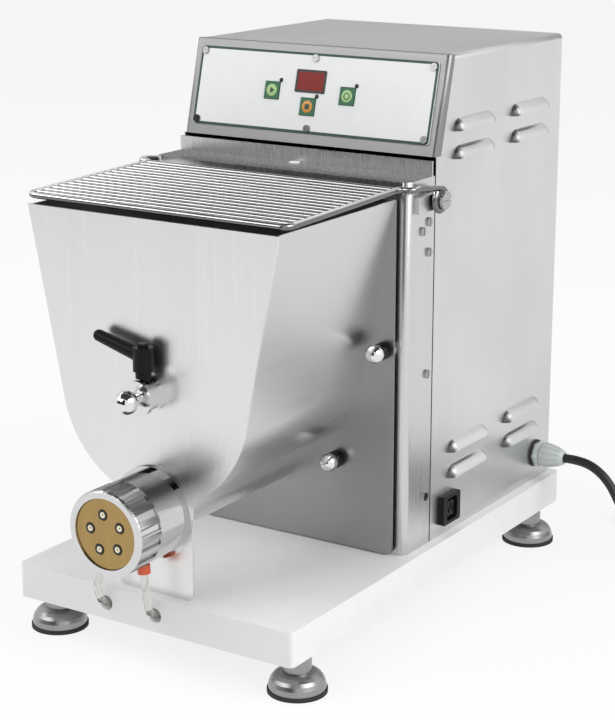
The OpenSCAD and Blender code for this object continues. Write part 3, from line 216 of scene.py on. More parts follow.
def turning():
    """Tool marks of a lathe: rings round an axis through Centre."""
    group, at, out = pattern("Turning", [
        ("Centre", "NodeSocketVector", (0, 0, 0)), ("Axis", "NodeSocketVector", (0, 1, 0)),
        ("Per metre", "NodeSocketFloat", 1500.0)], ["Rings"])
    off = vector_math(group, "SUBTRACT", coordinate(group), at.outputs["Centre"])
    along = vector_math(group, "DOT_PRODUCT", off, at.outputs["Axis"])
    lift = vector_math(group, "SCALE", at.outputs["Axis"], scale=along)
    away = vector_math(group, "LENGTH", vector_math(group, "SUBTRACT", off, lift))
    pair = group.nodes.new("ShaderNodeCombineXYZ")
    group.links.new(away, pair.inputs["X"])
    group.links.new(along, pair.inputs["Y"])
    scaled = per_metre(group, at, pair.outputs["Vector"])
    group.links.new(noise(group, scaled, 1, 3, 0.6), out.inputs["Rings"])
    return group


def inside():
    """1 where a sheet faces the line through Centre along Y, as inside a trough, else 0."""
    group, at, out = pattern("Inside", [("Centre", "NodeSocketVector", (0, 0, 0)),
                                        ("Across", "NodeSocketVector", (1, 0, 1))], ["Mask"])
    off = vector_math(group, "SUBTRACT", at.outputs["Centre"], coordinate(group))
    across = vector_math(group, "MULTIPLY", off, at.outputs["Across"])
    towards = vector_math(group, "DOT_PRODUCT", across, coordinate(group, "Normal"))
    group.links.new(ramped(group, towards, 0, 0.002), out.inputs["Mask"])
    return group


def facing():
    """1 where a surface faces a direction, between the cosines From and To."""
    group, at, out = pattern("Facing", [("Direction", "NodeSocketVector", (0, 0, 1)),
                                        ("From", "NodeSocketFloat", 0.5),
                                        ("To", "NodeSocketFloat", 0.9)], ["Mask"])
    towards = vector_math(group, "DOT_PRODUCT", coordinate(group, "Normal"),
                          at.outputs["Direction"])
    ramp = group.nodes.new("ShaderNodeMapRange")
    group.links.new(at.outputs["From"], ramp.inputs["From Min"])
    group.links.new(at.outputs["To"], ramp.inputs["From Max"])
    group.links.new(towards, ramp.inputs["Value"])
    group.links.new(ramp.outputs["Result"], out.inputs["Mask"])
    return group


PATTERNS = {"brushing": brushing(), "smudging": smudging(), "graining": graining(),
            "turning": turning(), "inside": inside(), "facing": facing()}


# ------------------------------------------------------------ finishes

LINE_DEPTH, GRAIN_DEPTH = 0.00005, 0.00004
UP, TO_FRONT = (0, 0, 1), (0, -1, 0)


class Finish:
    """A material with one Principled shader, built up effect by effect."""

    def __init__(self, name, base, roughness, metallic=0.0, **sockets):
        self.material = bpy.data.materials.new(name)
        self.material.use_nodes = True
        self.tree = self.material.node_tree
        self.tree.nodes.clear()
        self.shader = self.tree.nodes.new("ShaderNodeBsdfPrincipled")
        out = self.tree.nodes.new("ShaderNodeOutputMaterial")
        self.tree.links.new(self.shader.outputs["BSDF"], out.inputs["Surface"])
        self.base, self.roughness = tuple(base), roughness
        self.shader.inputs["Base Color"].default_value = (*self.base, 1)
        self.shader.inputs["Roughness"].default_value = roughness
        self.shader.inputs["Metallic"].default_value = metallic
        for socket, value in sockets.items():
            self.shader.inputs[socket.replace("_", " ")].default_value = value

    def effect(self, name, **values):
        node = self.tree.nodes.new("ShaderNodeGroup")
        node.node_tree = PATTERNS[name]
        for socket, value in values.items():
            node.inputs[socket.replace("_", " ")].default_value = value
        return node.outputs

    def tint(self, mask, other):
        """Base colour drifts to another colour where the mask is high, over any earlier drift."""
        mix = self.tree.nodes.new("ShaderNodeMix")
        mix.data_type = "RGBA"
        mix.inputs["A"].default_value = (*self.base, 1)
        for link in self.shader.inputs["Base Color"].links:
            self.tree.links.new(link.from_socket, mix.inputs["A"])
        mix.inputs["B"].default_value = (*other, 1)
        self.tree.links.new(mask, mix.inputs["Factor"])
        self.tree.links.new(mix.outputs["Result"], self.shader.inputs["Base Color"])
        return self

    def shade(self, side):
        """Paints shade: darkens what faces one way. side is None, or a direction, two cosines and a
        share.
        """
        if side:
            direction, low, high, amount = side
            self.tint(self.effect("facing", Direction=direction, From=low, To=high)["Mask"],
                      darker(self.base, amount))
        return self

    def dull(self, mask, amount):
        """Roughness varies by amount around its middle."""
        node = self.tree.nodes.new("ShaderNodeMath")
        node.operation = "MULTIPLY_ADD"
        node.inputs[1].default_value = amount
        node.inputs[2].default_value = self.roughness - amount / 2
        self.tree.links.new(mask, node.inputs[0])
        self.tree.links.new(node.outputs["Value"], self.shader.inputs["Roughness"])
        return self

    def relief(self, height, strength, depth):
        bump = self.tree.nodes.new("ShaderNodeBump")
        bump.inputs["Strength"].default_value = strength
        bump.inputs["Distance"].default_value = depth
        self.tree.links.new(height, bump.inputs["Height"])
        self.tree.links.new(bump.outputs["Normal"], self.shader.inputs["Normal"])
        return self


def darker(tone, by):
    return tuple(c * by for c in tone)


def brushed(name, tone, roughness, stretch, streak=0.9, relief=0.12, cloud=1.0, painted_shade_side=None):
    """Sheet steel with brushing lines, wide soft clouds and painted shade on what faces one way."""
    finish = Finish(name, tone, roughness, 1.0)
    lines = finish.effect("brushing", Stretch=stretch)
    finish.tint(lines["Streaks"], darker(tone, streak))
    if cloud < 1:
        finish.tint(finish.effect("smudging", Per_metre=3.5)["Mask"], darker(tone, cloud))
    finish.shade(painted_shade_side)
    finish.dull(lines["Lines"], 0.16)
    return finish.relief(lines["Lines"], relief, LINE_DEPTH).material


def turned(name, tone, roughness, centre, axis=(0, 1, 0), painted_shade_side=None):
    """Metal off a lathe, with rings round an axis."""
    finish = Finish(name, tone, roughness, 1.0)
    rings = finish.effect("turning", Centre=centre, Axis=axis)["Rings"]
    finish.tint(rings, darker(tone, 0.82)).dull(rings, 0.12)
    return finish.shade(painted_shade_side).relief(rings, 0.12, LINE_DEPTH).material


def polished(name, tone, roughness, painted_shade_side=None):
    """Smooth metal with faint wiping marks."""
    finish = Finish(name, tone, roughness, 1.0)
    mask = finish.effect("smudging", Per_metre=40.0)["Mask"]
    finish.tint(mask, darker(tone, 0.93)).dull(mask, 0.1)
    return finish.shade(painted_shade_side).material


def moulded(name, tone, roughness, grains=2500.0, relief=0.25, painted_shade_side=None, **sockets):
    """Plastic or rubber with a fine grain, in grains per metre."""
    finish = Finish(name, tone, roughness, **sockets)
    grain = finish.effect("graining", Per_metre=grains)
    finish.tint(grain["Mottle"], darker(tone, 0.9)).dull(grain["Height"], 0.12)
    finish.shade(painted_shade_side)
    return finish.relief(grain["Height"], relief, GRAIN_DEPTH).material


def dress(material, *nodes):
    """Gives CAD nodes a finish."""
    for name in nodes:
        slots = NODES[name].material_slots
        for slot in slots:
            slot.material = material
        if not slots:
            NODES[name].data.materials.append(material)


def soften(width, *nodes, segments=2):
    """Breaks the sharp edges of CAD nodes, which come as loose triangles."""
    for name in nodes:
        piece = NODES[name]
        weld = piece.modifiers.new("Joined triangles", "WELD")
        weld.merge_threshold = 1e-6
        bevel = piece.modifiers.new("Broken edges", "BEVEL")
        bevel.width, bevel.segments = width, segments
        bevel.limit_method, bevel.angle_limit = "ANGLE", SMOOTH_UP_TO
        bevel.harden_normals = True


# ------------------------------------------------------------ making pieces

def add_object(name, data):
    made = bpy.data.objects.new(name, data)
    bpy.context.scene.collection.objects.link(made)
    return made


def to_mesh(name, bm):
    """Turns a bmesh into a mesh and frees it."""
    mesh = bpy.data.meshes.new(name)
    bm.to_mesh(mesh)
    bm.free()
    return mesh


def lathe(profile, steps=48):
    """Spins (radius, height) points in millimetres round Z."""
    bm = bmesh.new()
    points = [bm.verts.new((r, 0, z)) for r, z in profile]
    edges = [bm.edges.new(pair) for pair in zip(points, points[1:])]
    bmesh.ops.spin(bm, geom=points + edges, cent=(0, 0, 0), axis=(0, 0, 1),
                   angle=2 * math.pi, steps=steps, use_merge=True)
    bmesh.ops.remove_doubles(bm, verts=bm.verts, dist=1e-4)
    bmesh.ops.recalc_face_normals(bm, faces=bm.faces)
    return bm


def rounded(width, height, corner):
    """One flat face with rounded corners, in millimetres."""
    bm = bmesh.new()
    bmesh.ops.create_grid(bm, x_segments=1, y_segments=1, size=0.5)
    bmesh.ops.scale(bm, vec=(width, height, 1), verts=bm.verts)
    if corner:
        bmesh.ops.bevel(bm, geom=bm.verts[:], offset=corner, offset_type="OFFSET",
                        affect="VERTICES", segments=6, profile=0.5, material=-1)
    return bm


def flat_ring(width, height, corner, wall, thick):
    """A rounded rectangular ring in millimetres."""
    bm = rounded(width, height, corner)
    rim = bmesh.ops.inset_region(bm, faces=bm.faces[:], thickness=wall, use_boundary=True,
                                 use_even_offset=True)
    bmesh.ops.delete(bm, geom=[f for f in bm.faces if f not in rim["faces"]], context="FACES")
    raise_faces(bm, thick)
    return bm


def raise_faces(bm, by):
    """Gives flat faces a thickness upwards."""
    made = bmesh.ops.extrude_face_region(bm, geom=bm.faces[:])
    tops = [v for v in made["geom"] if isinstance(v, bmesh.types.BMVert)]
    bmesh.ops.translate(bm, vec=(0, 0, by), verts=tops)
    bmesh.ops.recalc_face_normals(bm, faces=bm.faces)


def join(bm, other, matrix=None, material=0):
    """Adds another bmesh to bm, moved by matrix, with one material index, and frees it."""
    if matrix is not None:
        bmesh.ops.transform(other, matrix=matrix, verts=other.verts)
    for face in other.faces:
        face.material_index = material
    mesh = to_mesh("part", other)
    bm.from_mesh(mesh)
    bpy.data.meshes.remove(mesh)


def finish_piece(name, bm, matrix, materials, body, stands_for=()):
    """Turns a bmesh in millimetres into a piece at its place in the frame."""
    bmesh.ops.transform(bm, matrix=matrix, verts=bm.verts)
    mesh = to_mesh(name, bm)
    mesh.shade_smooth()
    mesh.set_sharp_from_angle(angle=SMOOTH_UP_TO)
    for material in materials:
        mesh.materials.append(material)
    piece = add_object(name, mesh)
    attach(piece, body)
    if stands_for:
        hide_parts(*stands_for)
    return piece


def turn_to(axis, at):
    """Millimetres with Z along axis to metres at a place given in millimetres."""
    turn = Vector((0, 0, 1)).rotation_difference(Vector(axis)).to_matrix().to_4x4()
    return Matrix.Translation(Vector(at) * MM) @ turn @ Matrix.Scale(MM, 4)


def ease(value, start, end):
    """0 up to start and 1 from end, with a smooth step between."""
    t = min(1.0, max(0.0, (value - start) / (end - start)))
    return t * t * (3 - 2 * t)


# ------------------------------------------------------------ stage

CAMERA_AT, CAMERA_TURN = (0.8455, -1.2794, 0.6235), (74.61, 0, 32.93)
LENS, SENSOR = 96.655, 36
FLOOR_WIDTH = 16
LAMP_AIM = Vector((0, 0, 0.2))
WHITE = (1, 1, 1, 1)
# How bright the floor shows itself to the camera and to gloss, over the light that falls on it.
FLOOR_GLOW = 0.8

# Each card's tone, its width and height, where it stands and where it faces.
CARDS = {"ceiling_card": (0.07, (3.2, 3.2), (0, -0.2, 2.0), (0, -0.1, 0.2)),
         "front_card": (0.02, (1.1, 2.2), (0.45, -2.5, 0.9), (0.1, -0.1, 0.3)),
         "rear_card": (0.62, (5.0, 2.0), (-1.2, 3.0, 1.0), (0, 0, 0.4)),
         "left_card": (0.03, (2.8, 0.9), (-1.05, -2.1, 0.65), (0, -0.2, 0.2))}


def aim(thing, at, away):
    """Sets a thing at a place with its Z axis along away."""
    thing.location = at
    thing.rotation_mode = "QUATERNION"
    thing.rotation_quaternion = away.to_track_quat("Z", "Y")


def card(name, tone, size, at, towards):
    """A dark or grey card beside the lamps that only metal and gloss see."""
    mesh = to_mesh(name, rounded(size[0] / MM, size[1] / MM, 0))
    piece = add_object(name, mesh)
    aim(piece, at, Vector(towards) - Vector(at))
    piece.scale = (MM, MM, MM)
    piece.visible_camera = piece.visible_diffuse = piece.visible_shadow = False
    finish = Finish(name, (tone, tone, tone), 0.9, Specular_IOR_Level=0.0)
    finish.tint(finish.effect("smudging", Per_metre=2.0)["Mask"], darker((tone,) * 3, 0.8))
    mesh.materials.append(finish.material)


class PASTA_OT_stage(bpy.types.Operator):
    """Sets the floor, the lamps, the sky and the camera"""
    bl_idname = "pasta.stage"
    bl_label = "Stage"

    def execute(self, context):
        studio = context.scene.pasta_studio
        scene = context.scene
        scene.view_settings.view_transform = "Standard"

        data = bpy.data.cameras.new("camera")
        data.lens, data.sensor_width = LENS, SENSOR
        data.clip_end = 50
        scene.camera = add_object("camera", data)
        scene.camera.location = CAMERA_AT
        scene.camera.rotation_euler = [math.radians(degrees) for degrees in CAMERA_TURN]

        mesh = to_mesh("floor", rounded(FLOOR_WIDTH, FLOOR_WIDTH, 0))
        add_object("floor", mesh)
        mesh.materials.append(self.floor_material(studio))

        self.sky(scene, studio)
        self.lamp("key_lamp", studio.lamp, 3.0, (-1.5, -1.9, 2.3))
        self.lamp("side_lamp", studio.lamp * 0.75, 2.2, (2.4, -0.3, 1.9))
        for name, how in CARDS.items():
            card(name, *how)
        return {"FINISHED"}

    def floor_material(self, studio):
        finish = Finish("pale_floor", studio.floor, 0.9)
        finish.tint(finish.effect("smudging", Per_metre=1.5)["Mask"], darker(studio.floor, 0.99))
        tree = finish.tree
        glow = tree.nodes.new("ShaderNodeEmission")
        glow.inputs["Color"].default_value = WHITE
        out = next(n for n in tree.nodes if n.bl_idname == "ShaderNodeOutputMaterial")
        self.show(tree, FLOOR_GLOW, finish.shader.outputs["BSDF"], glow.outputs["Emission"], out)
        return finish.material

    def show(self, tree, amount, lit, shown, out):
        """Sends out shown by amount where it is seen, over lit, which gives the light."""
        mix = tree.nodes.new("ShaderNodeMixShader")
        tree.links.new(self.seen(tree, amount), mix.inputs["Fac"])
        tree.links.new(lit, mix.inputs[1])
        tree.links.new(shown, mix.inputs[2])
        tree.links.new(mix.outputs["Shader"], out.inputs["Surface"])

    def seen(self, tree, amount):
        """amount where the camera, a reflection or glass looks, and 0 for the light itself."""
        path = tree.nodes.new("ShaderNodeLightPath")
        total = path.outputs["Is Camera Ray"]
        for ray in ("Is Glossy Ray", "Is Transmission Ray"):
            add = tree.nodes.new("ShaderNodeMath")
            add.operation = "MAXIMUM"
            tree.links.new(total, add.inputs[0])
            tree.links.new(path.outputs[ray], add.inputs[1])
            total = add.outputs["Value"]
        node = tree.nodes.new("ShaderNodeMath")
        node.operation = "MULTIPLY"
        node.inputs[1].default_value = amount
        tree.links.new(total, node.inputs[0])
        return node.outputs["Value"]

    def sky(self, scene, studio):
        world = bpy.data.worlds.new("studio")
        scene.world = world
        world.use_nodes = True
        tree = world.node_tree
        tree.nodes.clear()
        levels = []
        for strength in (studio.sky, 1):
            node = tree.nodes.new("ShaderNodeBackground")
            node.inputs["Color"].default_value = WHITE
            node.inputs["Strength"].default_value = strength
            levels.append(node.outputs["Background"])
        self.show(tree, 1, *levels, tree.nodes.new("ShaderNodeOutputWorld"))

    def lamp(self, name, power, size, at):
        data = bpy.data.lights.new(name, "AREA")
        data.energy, data.size = power, size
        aim(add_object(name, data), at, Vector(at) - LAMP_AIM)


# ------------------------------------------------------------ cord

LEAD = [(150, 214, 84), (162, 214, 84), (174, 214, 82), (184, 214, 77), (193, 214, 69),
        (200, 214, 59), (206, 214, 48), (212, 214, 36), (219, 214, 25), (228, 214, 15),
        (239, 214, 8), (251, 214, 5), (266, 214, 4)]
COIL_AT, COIL_RADIUS, COIL_LOW, COIL_END = (284, 260), 46, 4, 1620
# Where the cord steps out or up: by how much, and between which degrees of winding.
COIL_OUT = [(-8, 280, 355), (8, 925, 1000)]
COIL_UP = [(8, 595, 680), (8, 1245, 1325), (2, 1530, COIL_END)]
TAIL = [(264, 306, 22), (244, 306, 20.5), (226, 306, 18)]
GLAND_AT, TIE_AT = (121, 214, 84), (326, 263.5, 13.2)


def coil_point(wound):
    """A point of the coil after some degrees of winding. The turns lie beside and on each other."""
    radius, height = (sum((by * ease(wound, start, end) for by, start, end in steps), first)
                      for first, steps in ((COIL_RADIUS, COIL_OUT), (COIL_LOW, COIL_UP)))
    turn = math.radians(wound - 90)
    return (COIL_AT[0] + radius * math.cos(turn), COIL_AT[1] + radius * math.sin(turn), height)


class PASTA_OT_cord(bpy.types.Operator):
    """Lays the mains cord with its gland, coil, tie and plug"""
    bl_idname = "pasta.cord"
    bl_label = "Mains cord"

    def execute(self, context):
        cord_set, black = context.scene.pasta_cord, context.scene.pasta_plastic.black
        sheath = moulded("cord_sheath", cord_set.sheath, 0.45, 1800)
        pieces = [self.gland(cord_set), self.tie(),
                  self.plug(moulded("plug_black", black, 0.4, 1200))]

        curve = bpy.data.curves.new("mains_cord", "CURVE")
        curve.dimensions = "3D"
        curve.bevel_depth, curve.bevel_resolution = cord_set.diameter / 2, 6
        curve.resolution_u = 6
        points = LEAD + [coil_point(wound) for wound in range(0, COIL_END + 1, 15)] + TAIL
        spline = curve.splines.new("BEZIER")
        spline.bezier_points.add(len(points) - 1)
        for knot, point in zip(spline.bezier_points, points):
            knot.co = Vector(point) * MM
            knot.handle_left_type = knot.handle_right_type = "AUTO"
        curve.materials.append(sheath)
        cord = add_object("mains_cord", curve)
        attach(cord, "machine")
        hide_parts("power_cord", "cord_coil")
        return {"FINISHED"}

    def gland(self, cord_set):
        """Washer, hexagonal body and the long ribbed dome nut that holds the cord."""
        bm = lathe([(0, 0), (12, 0), (12.2, 0.4), (12.2, 1.6), (12, 2), (0, 2)])
        for face in bm.faces:
            face.material_index = 1
        body = bmesh.new()
        bmesh.ops.create_cone(body, cap_ends=True, segments=6, radius1=11.9, radius2=11.9, depth=5)
        bmesh.ops.bevel(body, geom=body.edges[:], offset=0.5, affect="EDGES", segments=2,
                        profile=0.5, material=-1)
        join(bm, body, Matrix.Translation((0, 0, 4.4)))
        join(bm, lathe([(0, 6.5), (9.4, 6.5), (9.4, 8.5), (0, 8.5)]))
        nut = lathe([(0, 8), (10.6, 8), (10.9, 8.4), (10.9, 13.5), (10.3, 17), (9.2, 21),
                     (7.6, 25.5), (6.2, 28.4), (5.6, 29), (0, 29)], 72)
        bmesh.ops.inset_region(nut, faces=[f for f in nut.faces if self.grooved(f)],
                               thickness=0.15, depth=-0.5)
        join(bm, nut)
        bmesh.ops.recalc_face_normals(bm, faces=bm.faces)
        grey = moulded("gland_grey", cord_set.gland, 0.35, 1200)
        return finish_piece("cord_gland", bm, turn_to((1, 0, 0), GLAND_AT),
                            [grey, moulded("washer_rubber", (0.02, 0.02, 0.02), 0.7)],
                            "machine", ("cable_gland", "gland_nut"))

    def grooved(self, face):
        """Whether a face of the gland's nut lies between two ribs, of which it has twelve."""
        x, y, z = face.calc_center_median()
        step = int(math.degrees(math.atan2(y, x)) // 5)
        return 8.6 < z < 24 and step % 6 < 2

    def tie(self):
        return finish_piece("cord_tie", flat_ring(17.4, 26.2, 3.5, 0.9, 7),
                            placed(TIE_AT, QUARTER_TURN, "X"),
                            [moulded("tie_black", (0.03, 0.03, 0.03), 0.6, 900)],
                            "machine")

    def plug(self, black):
        """A round ribbed grip that widens to a flat front with two sleeved pins."""
        profile = [(0, 0), (4.6, 0)]
        for i in range(5):
            z, r = 1 + i * 3.2, 5.6 + i * 0.8
            profile += [(r - 0.8, z), (r, z + 0.5), (r + 0.2, z + 2.2), (r - 0.5, z + 2.7)]
        profile += [(10.4, 18), (13.5, 20.5), (16.4, 22), (17.6, 23.6), (18, 25.5), (18, 33),
                    (17.6, 35), (16.6, 36), (14.8, 36), (14.6, 35.2), (0, 35.2)]
        bm = lathe(profile, 56)
        for side in (-9.5, 9.5):
            place = Matrix.Translation((0, side, 0))
            join(bm, lathe([(0, 34), (2.4, 34), (2.4, 44.6), (2.1, 45), (0, 45)], 24), place)
            pin = lathe([(0, 44), (2.15, 44), (2.15, 52.6), (1.9, 54), (1.2, 54.8), (0, 55)], 24)
            join(bm, pin, place, 1)
        return finish_piece("mains_plug", bm, placed(TAIL[-1], -QUARTER_TURN, "Y"),
                            [black, polished("pin_metal", (0.72, 0.70, 0.66), 0.2)],
                            "machine", ("plug_body",))


# ------------------------------------------------------------ housing, board and feet

class PASTA_OT_housing(bpy.types.Operator):
    """Finishes the cover, the column, the board, the feet and the socket"""
    bl_idname = "pasta.housing"
    bl_label = "Housing and board"

    def execute(self, context):
        steel, plastic = context.scene.pasta_steel, context.scene.pasta_plastic
        # The cover's front-facing surfaces, the louvres' front ends and the sheet edges, are
        # darkened as a painted dark reflection.
        dress(brushed("cover_steel", steel.cover, steel.cover_roughness, (700, 700, 5), 0.92,
                      cloud=0.82, painted_shade_side=(TO_FRONT, 0.25, 0.6, 0.15)),
              "side_cover", "rear_panel")
        # The column's upward faces are darkened as a painted dark reflection.
        dress(brushed("column_steel", steel.column, 0.28, (700, 700, 5), 0.92,
                      painted_shade_side=(UP, 0.5, 0.9, 0.32)), "front_frame")
        dress(polished("screw_steel", steel.screw, 0.16), "cover_screws")
        dress(polished("panel_screw_steel", steel.panel_screw, 0.12), "panel_screws")
        dress(polished("pivot_steel", darker(steel.polished, 0.6), 0.12), "hinge_pivots")
        dress(brushed("hinge_steel", steel.column, 0.3, (10, 800, 800)), "hinge_blocks")
        # The board's front face is darkened as painted shade.
        dress(moulded("white_board", plastic.board, 0.36, 1500, 0.1,
                      painted_shade_side=(TO_FRONT, 0.5, 0.95, 0.78)), "base_board", "shelf_plug")
        dress(moulded("socket_black", plastic.black, 0.34, 1500, Specular_IOR_Level=0.15),
              "accessory_socket")
        rubber = moulded("foot_rubber", (0.02, 0.02, 0.02), 0.75, 1200)
        for end in ("front", "rear"):
            for side in ("left", "right"):
                lo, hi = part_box(f"foot_{end}_{side}")
                dress(turned(f"foot_{end}_{side}_metal", (0.36, 0.36, 0.36), 0.3,
                             (lo + hi) / 2, UP), f"foot_{end}_{side}")
                dress(rubber, f"foot_pad_{end}_{side}")
        soften(0.0012, "base_board", segments=3)
        soften(0.0005, "side_cover", "front_frame")
        soften(0.0004, "accessory_socket", "hinge_blocks")
        return {"FINISHED"}


# ------------------------------------------------------------ panel

class PASTA_OT_panel(bpy.types.Operator):
    """Finishes the leaning panel with its border line, keys, marks and display"""
    bl_idname = "pasta.panel"
    bl_label = "Key panel"

    def execute(self, context):
        steel, plastic = context.scene.pasta_steel, context.scene.pasta_plastic
        dress(brushed("rim_steel", steel.rim, 0.34, (6, 700, 700)), "panel_housing")
        dress(moulded("plate_film", plastic.plate, 0.32, 1800, 0.15), "panel_plate")
        dress(moulded("display_red", plastic.window, 0.2, 900, 0.05, Specular_IOR_Level=0.2),
              "display_window")
        dress(moulded("circuit_green", (0.02, 0.12, 0.05), 0.5, 700), "display_board")
        green = moulded("key_green", plastic.key, 0.38, 1500)
        light = moulded("mark_light", plastic.mark, 0.4, 1500)
        amber = moulded("mark_amber", plastic.stop_mark, 0.4, 1500)
        dark = moulded("mark_dark", plastic.line, 0.4, 1500)
        caps = [f"key_{name}" for name in KEYS]
        dress(green, *caps)
        soften(0.0004, *caps, "panel_housing")
        self.ring("panel_line", (226, 65, 3, 2, 0.15), (0, 32.5, -0.02), dark)
        self.ring("display_frame", (28.6, 18.6, 1, 1.9, 0.5), (-2, 42, -0.05),
                  moulded("frame_black", (0.01, 0.01, 0.01), 0.3))
        self.signals()
        for name, corners, disc in (("start", 3, light), ("stop", 4, amber), ("extrude", 0, light)):
            self.mark(name, corners, disc, dark)
        return {"FINISHED"}

    def ring(self, name, sizes, at, material):
        """A flat ring, placed from the lower edge and the top of the panel plate."""
        place = FACE @ Matrix.Translation((at[0], PLATE_LOW + at[1], PLATE_TOP + at[2]))
        finish_piece(name, flat_ring(*sizes), place, [material], "machine")

    def signals(self):
        """A small dark lamp at the corner of each key."""
        bm = bmesh.new()
        for x, y in KEYS.values():
            dot = lathe([(0, 0), (1.7, 0), (1.7, 0.5), (1.45, 1), (0.9, 1.35), (0, 1.5)], 24)
            join(bm, dot, Matrix.Translation((x + 7.6, y + 8.8, PLATE_TOP - 0.1)))
        finish_piece("signal_lamps", bm, FACE, [moulded("lamp_dark", (0.015, 0.02, 0.015), 0.25)],
                     "machine")

    def mark(self, name, corners, light, dark):
        """A light disc on a key, with a plain triangle, square or ring."""
        x, y = KEYS[name]
        bm = lathe([(0, 0), (4.9, 0), (4.9, 0.18), (4.7, 0.25), (0, 0.25)])
        if corners:
            sign = bmesh.new()
            bmesh.ops.create_circle(sign, cap_ends=True, segments=corners, radius=2.9)
            turn = Matrix.Rotation(math.radians(-90 if corners == 3 else 45), 4, "Z")
            bmesh.ops.transform(sign, matrix=turn, verts=sign.verts)
            raise_faces(sign, 0.3)
        else:
            sign = lathe([(2.2, 0), (2.9, 0), (2.9, 0.35), (2.2, 0.35), (2.2, 0)], 40)
        join(bm, sign, Matrix.Translation((0, 0, 0.05)), 1)
        finish_piece(f"{name}_mark", bm, FACE @ Matrix.Translation((x, y, KEY_TOP - 0.02)),
                     [light, dark], f"{name}_key")


# ------------------------------------------------------------ hopper and head

DIE_FACE, INSERTS_AT = (0, -245, 126), 14.5


class PASTA_OT_hopper(bpy.types.Operator):
    """Finishes the hopper, its guard, the mixer and the auger"""
    bl_idname = "pasta.hopper"
    bl_label = "Hopper and guard"

    def execute(self, context):
        steel = context.scene.pasta_steel
        dress(brushed("front_plate_steel", steel.hopper, steel.hopper_roughness, (500, 500, 5),
                      0.97, 0.03), "hopper_front_plate")
        self.trough(steel)
        dress(brushed("back_plate_steel", steel.back_plate, 0.32, (500, 500, 5), 0.93, 0.06),
              "hopper_back_plate")
        self.guard(steel)
        dress(polished("tool_steel", darker(steel.polished, 0.3), 0.3), "auger", "mixer")
        return {"FINISHED"}

    def guard(self, steel):
        """Bright rods, with painted shade on the lower side."""
        finish = Finish("guard_steel", steel.polished, 0.18, 1.0)
        painted_shade_below = finish.effect("facing", Direction=(0, 0.34, -0.94), From=-0.78, To=-0.42)["Mask"]
        finish.tint(painted_shade_below, darker(steel.polished, 0.24))
        finish.dull(finish.effect("smudging", Per_metre=40.0)["Mask"], 0.1)
        dress(finish.material, "guard_frame", "guard_bars")

    def trough(self, steel):
        """Satin sheet of the hopper's steel, a little darker all over and much darker inside the
        trough: painted shade.
        """
        tone = darker(steel.hopper, 0.85)
        finish = Finish("trough_steel", tone, 0.3, 1.0)
        mask = finish.effect("inside", Centre=TROUGH_AXIS)["Mask"]
        lines = finish.effect("brushing", Stretch=(500, 5, 500))["Lines"]
        finish.tint(mask, darker(tone, 0.36)).dull(lines, 0.12).relief(lines, 0.05, LINE_DEPTH)
        dress(finish.material, "hopper_trough", "auger_channel")


class PASTA_OT_head(bpy.types.Operator):
    """Finishes the barrel, the ring nut, the die with its inserts and the hoses"""
    bl_idname = "pasta.head"
    bl_label = "Barrel head"

    def execute(self, context):
        steel, brass = context.scene.pasta_steel, context.scene.pasta_brass
        # The barrel's steel is darker than the other polished parts and darker still on top:
        # painted shadow and dark reflection.
        dress(polished("barrel_steel", darker(steel.polished, 0.8), 0.08,
                       painted_shade_side=(UP, 0.35, 0.85, 0.16)), "barrel_head")
        # The ring nut's upward faces are darkened as a painted dark reflection.
        dress(turned("nut_aluminium", (0.74, 0.74, 0.75), 0.2, BARREL_AXIS,
                     painted_shade_side=(UP, 0.4, 0.95, 0.4)), "ring_nut")
        dress(brushed("die_brass", brass.brass, 0.26, (1600, 1600, 25), 0.8, 0.15), "die")
        dress(moulded("hose_clear", (0.94, 0.93, 0.90), 0.1, 900, 0.05, Transmission_Weight=0.92,
                      IOR=1.25), "hose_left", "hose_right")
        dress(moulded("collar_orange", (0.62, 0.10, 0.03), 0.4, 1200), "hose_collars")
        self.inserts(brass)
        soften(0.0006, "ring_nut", "die")
        return {"FINISHED"}

    def inserts(self, brass):
        """A cream nozzle in a black ring, five times round the die."""
        bm = bmesh.new()
        for i in range(5):
            angle = math.radians(28 + 72 * i)
            place = Matrix.Translation((INSERTS_AT * math.cos(angle),
                                        INSERTS_AT * math.sin(angle), 0))
            ring = lathe([(2.4, -8), (3.98, -8), (3.98, 0.2), (3.8, 0.45), (2.6, 0.45),
                          (2.4, 0.2), (2.4, -8)], 40)
            join(bm, ring, place, 1)
            nozzle = lathe([(0.8, -8), (2.42, -8), (2.42, 0), (2.2, 0.3), (1.1, 0.3), (0.8, 0),
                            (0.8, -8)], 40)
            join(bm, nozzle, place)
        finish_piece("die_nozzles", bm, placed(DIE_FACE, QUARTER_TURN, "X"),
                     [moulded("nozzle_cream", brass.insert, 0.45, 1200),
                      moulded("nozzle_ring", (0.015, 0.015, 0.015), 0.5)],
                     "die_set", ("die_inserts",))


# ------------------------------------------------------------ fittings

KNOB_Y = -17.4
BALL_RADIUS, BALL_UP = 7.5, 19.6


